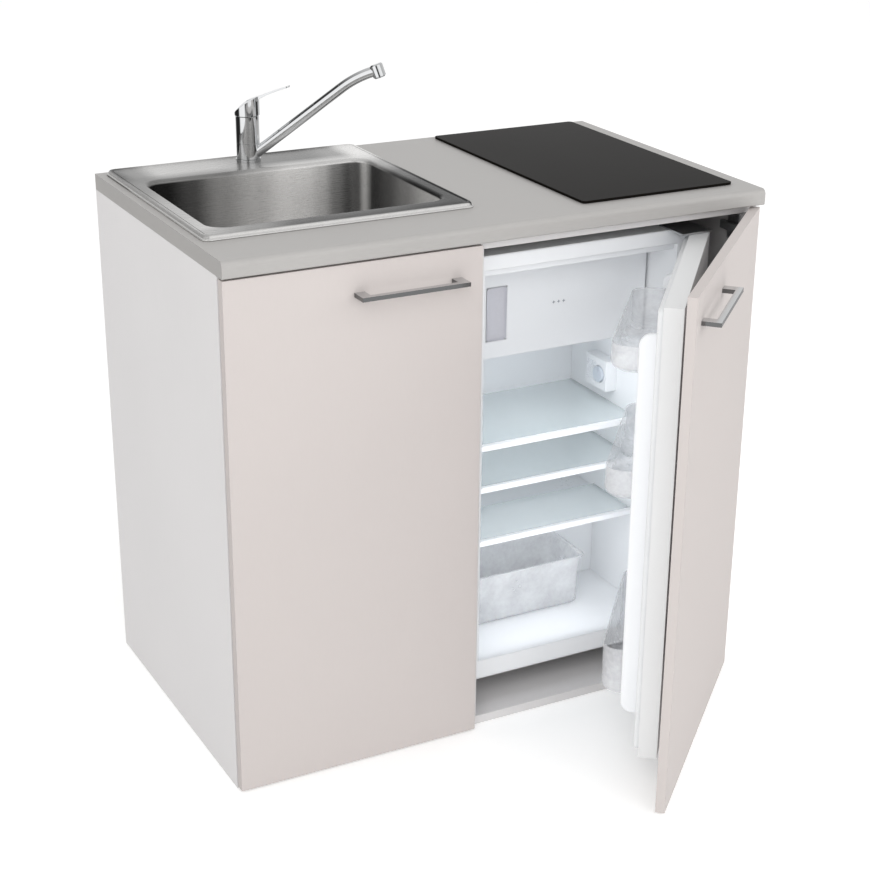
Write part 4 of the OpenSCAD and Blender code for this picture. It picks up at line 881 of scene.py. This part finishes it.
class KITCHENETTE_OT_fridge(bpy.types.Operator):
    """Finishes the refrigerator's cabinet and everything that stands in it"""
    bl_idname = "kitchenette.fridge"
    bl_label = "Refrigerator"

    def execute(self, context):
        look = context.scene.kitchenette_fridge
        metal = context.scene.kitchenette_metal
        white = liner_finish(look.liner)
        dress(white, "fridge_liner", "freezer_box", "freezer_flap", "shelf_trims", "control_box")
        dress(coat_finish(look.enamel), "fridge_case")
        dress(zinc_finish(metal.zinc), "fridge_hinges")
        dress(finish("rigid_foam", (0.78, 0.68, 0.42), (0.68, 0.58, 0.34), (0.8, 0.9), drift=(20.0, 500.0, 0.6),
                     relief=(0.001, 900.0, 0.0002, 40.0, 0.0002)), "fridge_foam")
        dress(finish("black_enamel", (0.022, 0.022, 0.024), (0.014, 0.014, 0.015), (0.28, 0.45),
                     drift=(20.0, 400.0, 0.5)), "compressor", "condenser")
        dress(finish("dial_plastic", (0.70, 0.75, 0.82), (0.64, 0.69, 0.76), (0.3, 0.4)), "thermostat_dial")
        dress(glass_finish(), "glass_shelves")
        self.drawer(look)
        self.grip_and_marks()
        self.lamp()
        return {"FINISHED"}

    def drawer(self, look):
        clear = clear_finish(look.clear)
        x0, y0, x1, y1 = -0.002, -0.120, 0.275, -0.004
        bottom, top = 0.099, 0.204
        loops = []
        for step in range(6):
            a = radians(90 * step / 5)
            r = 0.010
            inset = 0.004 + r * (1 - sin(a))
            loops.append(ring(x0 + inset, y0 + inset, x1 - inset, y1 - inset, 0.012,
                              bottom + r * (1 - cos(a)), 6, 4))
        loops.append(ring(x0 + 0.0035, y0 + 0.0035, x1 - 0.0035, y1 - 0.0035, 0.013, bottom + 0.05, 6, 4))
        loops.append(ring(x0 + 0.0005, y0 + 0.0005, x1 - 0.0005, y1 - 0.0002, 0.014, top - 0.005, 6, 4))
        loops.append(ring(x0 - 0.0035, y0 - 0.0055, x1 + 0.0035, y1 - 0.0001, 0.015, top - 0.0035, 6, 4))
        loops.append(ring(x0 - 0.004, y0 - 0.006, x1 + 0.004, y1, 0.015, top - 0.001, 6, 4))
        tub = skin("crisper_tub", loops, first=True)
        outward(tub)
        smooth(tub, 50)
        thicken(tub, 0.0022)
        fitted(tub, "salad_drawer", clear, "clear_plastic", "salad_drawer")

    def grip_and_marks(self):
        """A lilac-grey cup in the flap's grip, and three plain raised marks beside the middle."""
        cup = finish("flap_grip", (0.68, 0.68, 0.73), (0.62, 0.62, 0.67), (0.4, 0.5),
                     relief=(0.001, 600.0, 0.00003, 10.0, 0.00002))
        x0, z0, x1, z1 = 0.0395, 0.6715, 0.0805, 0.7695
        loops = []
        for inset, depth in ((0.0006, 0.0003), (0.0012, -0.0004), (0.0022, -0.0042), (0.0040, -0.0054),
                             (0.014, -0.0056)):
            flat = ring(x0 + inset, z0 + inset, x1 - inset, z1 - inset, 0.006, 0.0, 5, 3)
            loops.append([Vector((p.x, -0.145 - depth, p.y)) for p in flat])
        grip = skin("flap_grip_cup", loops, last=True)
        outward_to(grip, Vector((0.0, -1.0, 0.0)))
        smooth(grip, 50)
        fitted(grip, "freezer_flap", cup, "fridge_plastic")
        marks = []
        for i in range(3):
            cx, cz = 0.175 + 0.0103 * i, 0.726
            points = [Vector((cx, -0.1456, cz))]
            for k in range(8):
                r = 0.0036 if k % 2 == 0 else 0.0013
                a = tau * k / 8
                points.append(Vector((cx + r * cos(a), -0.14505, cz + r * sin(a))))
            faces = [(0, 1 + k, 1 + (k + 1) % 8) for k in range(8)]
            marks.append(from_points("mark", points, faces))
        stars = joined("flap_marks", marks)
        outward_to(stars, Vector((0.0, -1.0, 0.0)))
        fitted(stars, "freezer_flap", finish("mark_grey", (0.30, 0.32, 0.36), (0.24, 0.26, 0.30), (0.4, 0.5)),
               "fridge_plastic")

    def lamp(self):
        """The interior lamp's ribbed lens on the thermostat housing, and its light."""
        lens = finish("lamp_lens", (0.93, 0.95, 0.97), (0.88, 0.90, 0.94), (0.25, 0.35), transmission_weight=0.0)
        x = 0.371 - 0.024
        ribs = []
        low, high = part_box("control_box")
        y0, y1 = high.y - 0.036, high.y - 0.006
        count = 9
        for i in range(count):
            z = low.z + 0.012 + (high.z - low.z - 0.024) * i / (count - 1)
            rib = lathe("rib", [(0.0, -0.015), (0.0022, -0.0145), (0.0022, 0.0145), (0.0, 0.015)],
                        (x - 0.0002, (y0 + y1) / 2, z), "Y", 12)
            ribs.append(rib)
        fitted(joined("lamp_lens_ribs", ribs), "carcass", lens, "fridge_plastic")
        for name, place, tilt, size, power in (
                ("fridge_lamp", (0.188, -0.160, 0.630), 0.0, (0.30, 0.16), 0.25),
                ("fridge_glow", (0.150, -0.226, 0.300), 90.0, (0.30, 0.36), 0.32)):
            light = bpy.data.lights.new(name, "AREA")
            light.shape = "RECTANGLE"
            light.size, light.size_y = size
            light.energy = power
            light.color = (0.95, 0.975, 1.0)
            lamp = bpy.data.objects.new(name, light)
            lamp.location = place
            lamp.rotation_euler = (radians(tilt), 0.0, 0.0)
            lamp.visible_glossy = False
            lamp.visible_camera = False
            bpy.context.scene.collection.objects.link(lamp)


def outward_to(piece, way):
    """Makes the faces of an open mesh look along way on the whole."""
    total = sum((f.normal * f.area for f in piece.data.polygons), Vector())
    if total.dot(way) < 0:
        piece.data.flip_normals()


def liner_finish(colour):
    if "liner_white" in bpy.data.materials:
        return bpy.data.materials["liner_white"]
    return finish("liner_white", colour, darker(colour, 0.985), (0.26, 0.36), drift=(4.0, 200.0, 0.3),
                  relief=(0.003, 500.0, 0.000012, 8.0, 0.00004), specular_ior_level=0.45,
                  subsurface_weight=0.0)


def coat_finish(colour):
    if "white_coat" in bpy.data.materials:
        return bpy.data.materials["white_coat"]
    return finish("white_coat", colour, darker(colour, 0.97), (0.32, 0.42), drift=(3.0, 300.0, 0.3),
                  relief=(0.0012, 900.0, 0.000025, 8.0, 0.00003))


def clear_finish(colour):
    """Clear moulded plastic: mostly see-through, with waves in its surface."""
    if "clear_moulding" in bpy.data.materials:
        return bpy.data.materials["clear_moulding"]
    made = finish("clear_moulding", colour, darker(colour, 0.88), (0.10, 0.22), drift=(16.0, 90.0, 0.4),
                  relief=(0.0015, 120.0, 0.00025, 26.0, 0.0010))
    w = Wiring(made.node_tree)
    cloud = effect(w, "drift", slow_scale=22.0, fine_scale=120.0, fine_share=0.35)
    w.join(w.spread(cloud.outputs["Mask"], 0.0, 1.0, 0.26, 0.44),
           made.node_tree.nodes["Principled BSDF"].inputs["Alpha"])
    return made


def glass_finish():
    if "shelf_glass" in bpy.data.materials:
        return bpy.data.materials["shelf_glass"]
    made = finish("shelf_glass", (0.84, 0.91, 0.93), (0.78, 0.86, 0.88), (0.03, 0.08), drift=(8.0, 200.0, 0.3),
                  relief=(0.0004, 300.0, 0.000002, 10.0, 0.00001))
    w = Wiring(made.node_tree)
    dust = effect(w, "smudges", scale=30.0, cover=0.5)
    w.join(w.spread(dust.outputs["Mask"], 0.0, 1.0, 0.14, 0.22),
           made.node_tree.nodes["Principled BSDF"].inputs["Alpha"])
    return made


class KITCHENETTE_OT_fridge_door(bpy.types.Operator):
    """Makes the refrigerator door's lining, its folded seal and its clear racks"""
    bl_idname = "kitchenette.fridge_door"
    bl_label = "Refrigerator door"

    def execute(self, context):
        look = context.scene.kitchenette_fridge
        dress(coat_finish(look.enamel), "fridge_door")
        self.lining(look)
        self.seal(look)
        self.racks(look)
        return {"FINISHED"}

    def lining(self, look):
        """A moulded panel with two upright ribs, rounded at their ends, and low rails between them."""
        back, out = -0.241, -0.201
        px0, px1, pz0, pz1 = -0.015, 0.391, 0.084, 0.834
        dx0, dx1, dz0, dz1 = 0.015, 0.361, 0.115, 0.793
        wall, r, bend = 0.012, 0.0035, 0.020

        def level(x0, z0, x1, z1, corner, y):
            return [Vector((p.x, y, p.y)) for p in ring(x0, z0, x1, z1, corner, 0.0, 8, 4)]

        base = back + 0.002
        panel = skin("panel", [level(px0, pz0, px1, pz1, 0.004, back + 0.0002),
                               level(px0, pz0, px1, pz1, 0.004, base - 0.0006),
                               level(px0 + 0.0006, pz0 + 0.0006, px1 - 0.0006, pz1 - 0.0006, 0.004, base),
                               level(px0 + 0.02, pz0 + 0.02, px1 - 0.02, pz1 - 0.02, 0.004, base)],
                     first=True, last=True)
        outward(panel)
        pieces = [panel]
        for x0 in (dx0, dx1 - wall):
            loops = []
            for step in range(5):
                a = radians(90 * step / 4)
                loops.append((x0 + r * (1 - sin(a)), r * (1 - cos(a))))
            loops = loops[::-1] + [(x0 + wall - (x - x0), inset) for x, inset in loops]
            sides = [[Vector((x, max(p.x, back + 0.0002), p.y))
                      for p in ring(back - bend, dz0 + inset, out - inset, dz1 - inset, bend - inset, 0.0, 8, 4)]
                     for x, inset in loops]
            rib = skin("rib", sides, first=True, last=True)
            outward(rib)
            pieces.append(rib)
        for z in (dz0, dz1 - wall):
            rail = skin("rail", [level(dx0 + 0.002, z + inset, dx1 - 0.002, z + wall - inset, 0.001, y)
                                 for inset, y in ((0.0, back + 0.0003), (0.0, back + 0.005), (0.0008, back + 0.007),
                                                  (0.0030, back + 0.008))], first=True, last=True)
            outward(rail)
            pieces.append(rail)
        lining = joined("door_lining_panel", pieces)
        smooth(lining, 50)
        turned_on(lining, DOOR_PIN, DOOR_TURN)
        fitted(lining, "fridge_door", liner_finish(look.liner), "fridge_plastic", "door_lining")

    def seal(self, look):
        """The folded magnetic seal: a profile with two folds, swept round the door."""
        back, depth = -0.241, 0.0095
        x0, x1, z0, z1 = -0.029, 0.405, 0.070, 0.848
        width = 0.014
        fold = look.seal_fold
        profile = ((0.0010, 0.0002), (0.0004, 0.0014), (0.0004, depth - 0.0030), (0.0012, depth - 0.0010),
                   (0.0026, depth - 0.0002), (0.0060, depth), (0.0066, depth - fold), (0.0078, depth - fold - 0.0004),
                   (0.0086, depth - 0.0006), (0.0116, depth - 0.0012), (0.0130, depth - 0.0024),
                   (width - 0.0004, depth - 0.0045), (width - 0.0012, 0.0030), (width - 0.0002, 0.0016),
                   (width - 0.001, 0.0002))
        loops = []
        for inset, rise in profile:
            r = max(0.010 - inset * 0.4, 0.003)
            loops.append([Vector((p.x, back + rise, p.y))
                          for p in ring(x0 + inset, z0 + inset, x1 - inset, z1 - inset, r, 0.0, 6, 4)])
        seal = skin("door_seal", loops, closed=True)
        outward(seal)
        smooth(seal, 40)
        turned_on(seal, DOOR_PIN, DOOR_TURN)
        made = finish("seal_white", (0.82, 0.83, 0.84), (0.76, 0.77, 0.785), (0.45, 0.55), drift=(10.0, 300.0, 0.3),
                      relief=(0.0004, 700.0, 0.00002, 12.0, 0.00005))
        fitted(seal, "fridge_door", made, "fridge_plastic", "door_lining")

    def racks(self, look):
        """Three clear tubs with rounded corners, wavy as moulded."""
        x0, x1 = 0.0285, 0.3475
        y0 = -0.2385
        made = []
        for z, h, d in ((0.716, 0.050, 0.088), (0.497, 0.056, 0.088), (0.134, 0.092, 0.078)):
            y1 = -0.241 + d
            r = look.rack_corner
            loops = []
            for step in range(7):
                a = radians(90 * step / 6)
                inset = r * (1 - sin(a)) * 0.8
                loops.append(ring(x0 + inset, y0 + inset * 0.5, x1 - inset, y1 - inset, r * 0.8,
                                  z + r * 0.8 * (1 - cos(a)), 7, 8))
            loops.append(ring(x0, y0, x1, y1, r, z + h * 0.6, 7, 8))
            loops.append(ring(x0, y0, x1, y1, r, z + h - 0.002, 7, 8))
            loops.append(ring(x0 + 0.0006, y0 + 0.0006, x1 - 0.0006, y1 - 0.0006, r, z + h, 7, 8))
            tub = skin("tub", loops, first=True)
            outward(tub)
            made.append(tub)
        racks = joined("clear_door_racks", made)
        smooth(racks, 50)
        thicken(racks, 0.0023)
        turned_on(racks, DOOR_PIN, DOOR_TURN)
        fitted(racks, "fridge_door", clear_finish(look.clear), "clear_plastic", "door_racks")


# ---- Sidebar ----

STEPS = ("stage", "boards", "worktop", "sink", "tap", "hob", "fronts", "fridge", "fridge_door")


class KITCHENETTE_PT_sidebar(bpy.types.Panel):
    """Lists the operators and the values that they use"""
    bl_label = "Kitchenette"
    bl_idname = "KITCHENETTE_PT_sidebar"
    bl_space_type = "VIEW_3D"
    bl_region_type = "UI"
    bl_category = "Kitchenette"

    def draw(self, context):
        for step in STEPS:
            self.layout.operator("kitchenette." + step)
        for name in GROUP_TYPES:
            box = self.layout.box()
            values = getattr(context.scene, name)
            for key in values.bl_rna.properties.keys():
                if key not in ("rna_type", "name"):
                    box.prop(values, key)


GROUP_TYPES = {
    "kitchenette_cabinet": CabinetFinish,
    "kitchenette_metal": MetalFinish,
    "kitchenette_fridge": FridgeFinish,
    "kitchenette_stage": StageFinish,
}
CLASSES = (
    CabinetFinish, MetalFinish, FridgeFinish, StageFinish,
    KITCHENETTE_OT_stage, KITCHENETTE_OT_boards, KITCHENETTE_OT_worktop, KITCHENETTE_OT_sink, KITCHENETTE_OT_tap,
    KITCHENETTE_OT_hob, KITCHENETTE_OT_fronts, KITCHENETTE_OT_fridge, KITCHENETTE_OT_fridge_door,
    KITCHENETTE_PT_sidebar,
)


def register():
    for cls in CLASSES:
        bpy.utils.register_class(cls)
    for name, cls in GROUP_TYPES.items():
        setattr(bpy.types.Scene, name, PointerProperty(type=cls))


def unregister():
    for name in GROUP_TYPES:
        delattr(bpy.types.Scene, name)
    for cls in reversed(CLASSES):
        bpy.utils.unregister_class(cls)


def main():
    register()
    for step in STEPS:
        getattr(bpy.ops.kitchenette, step)()


if __name__ == "__main__":
    main()
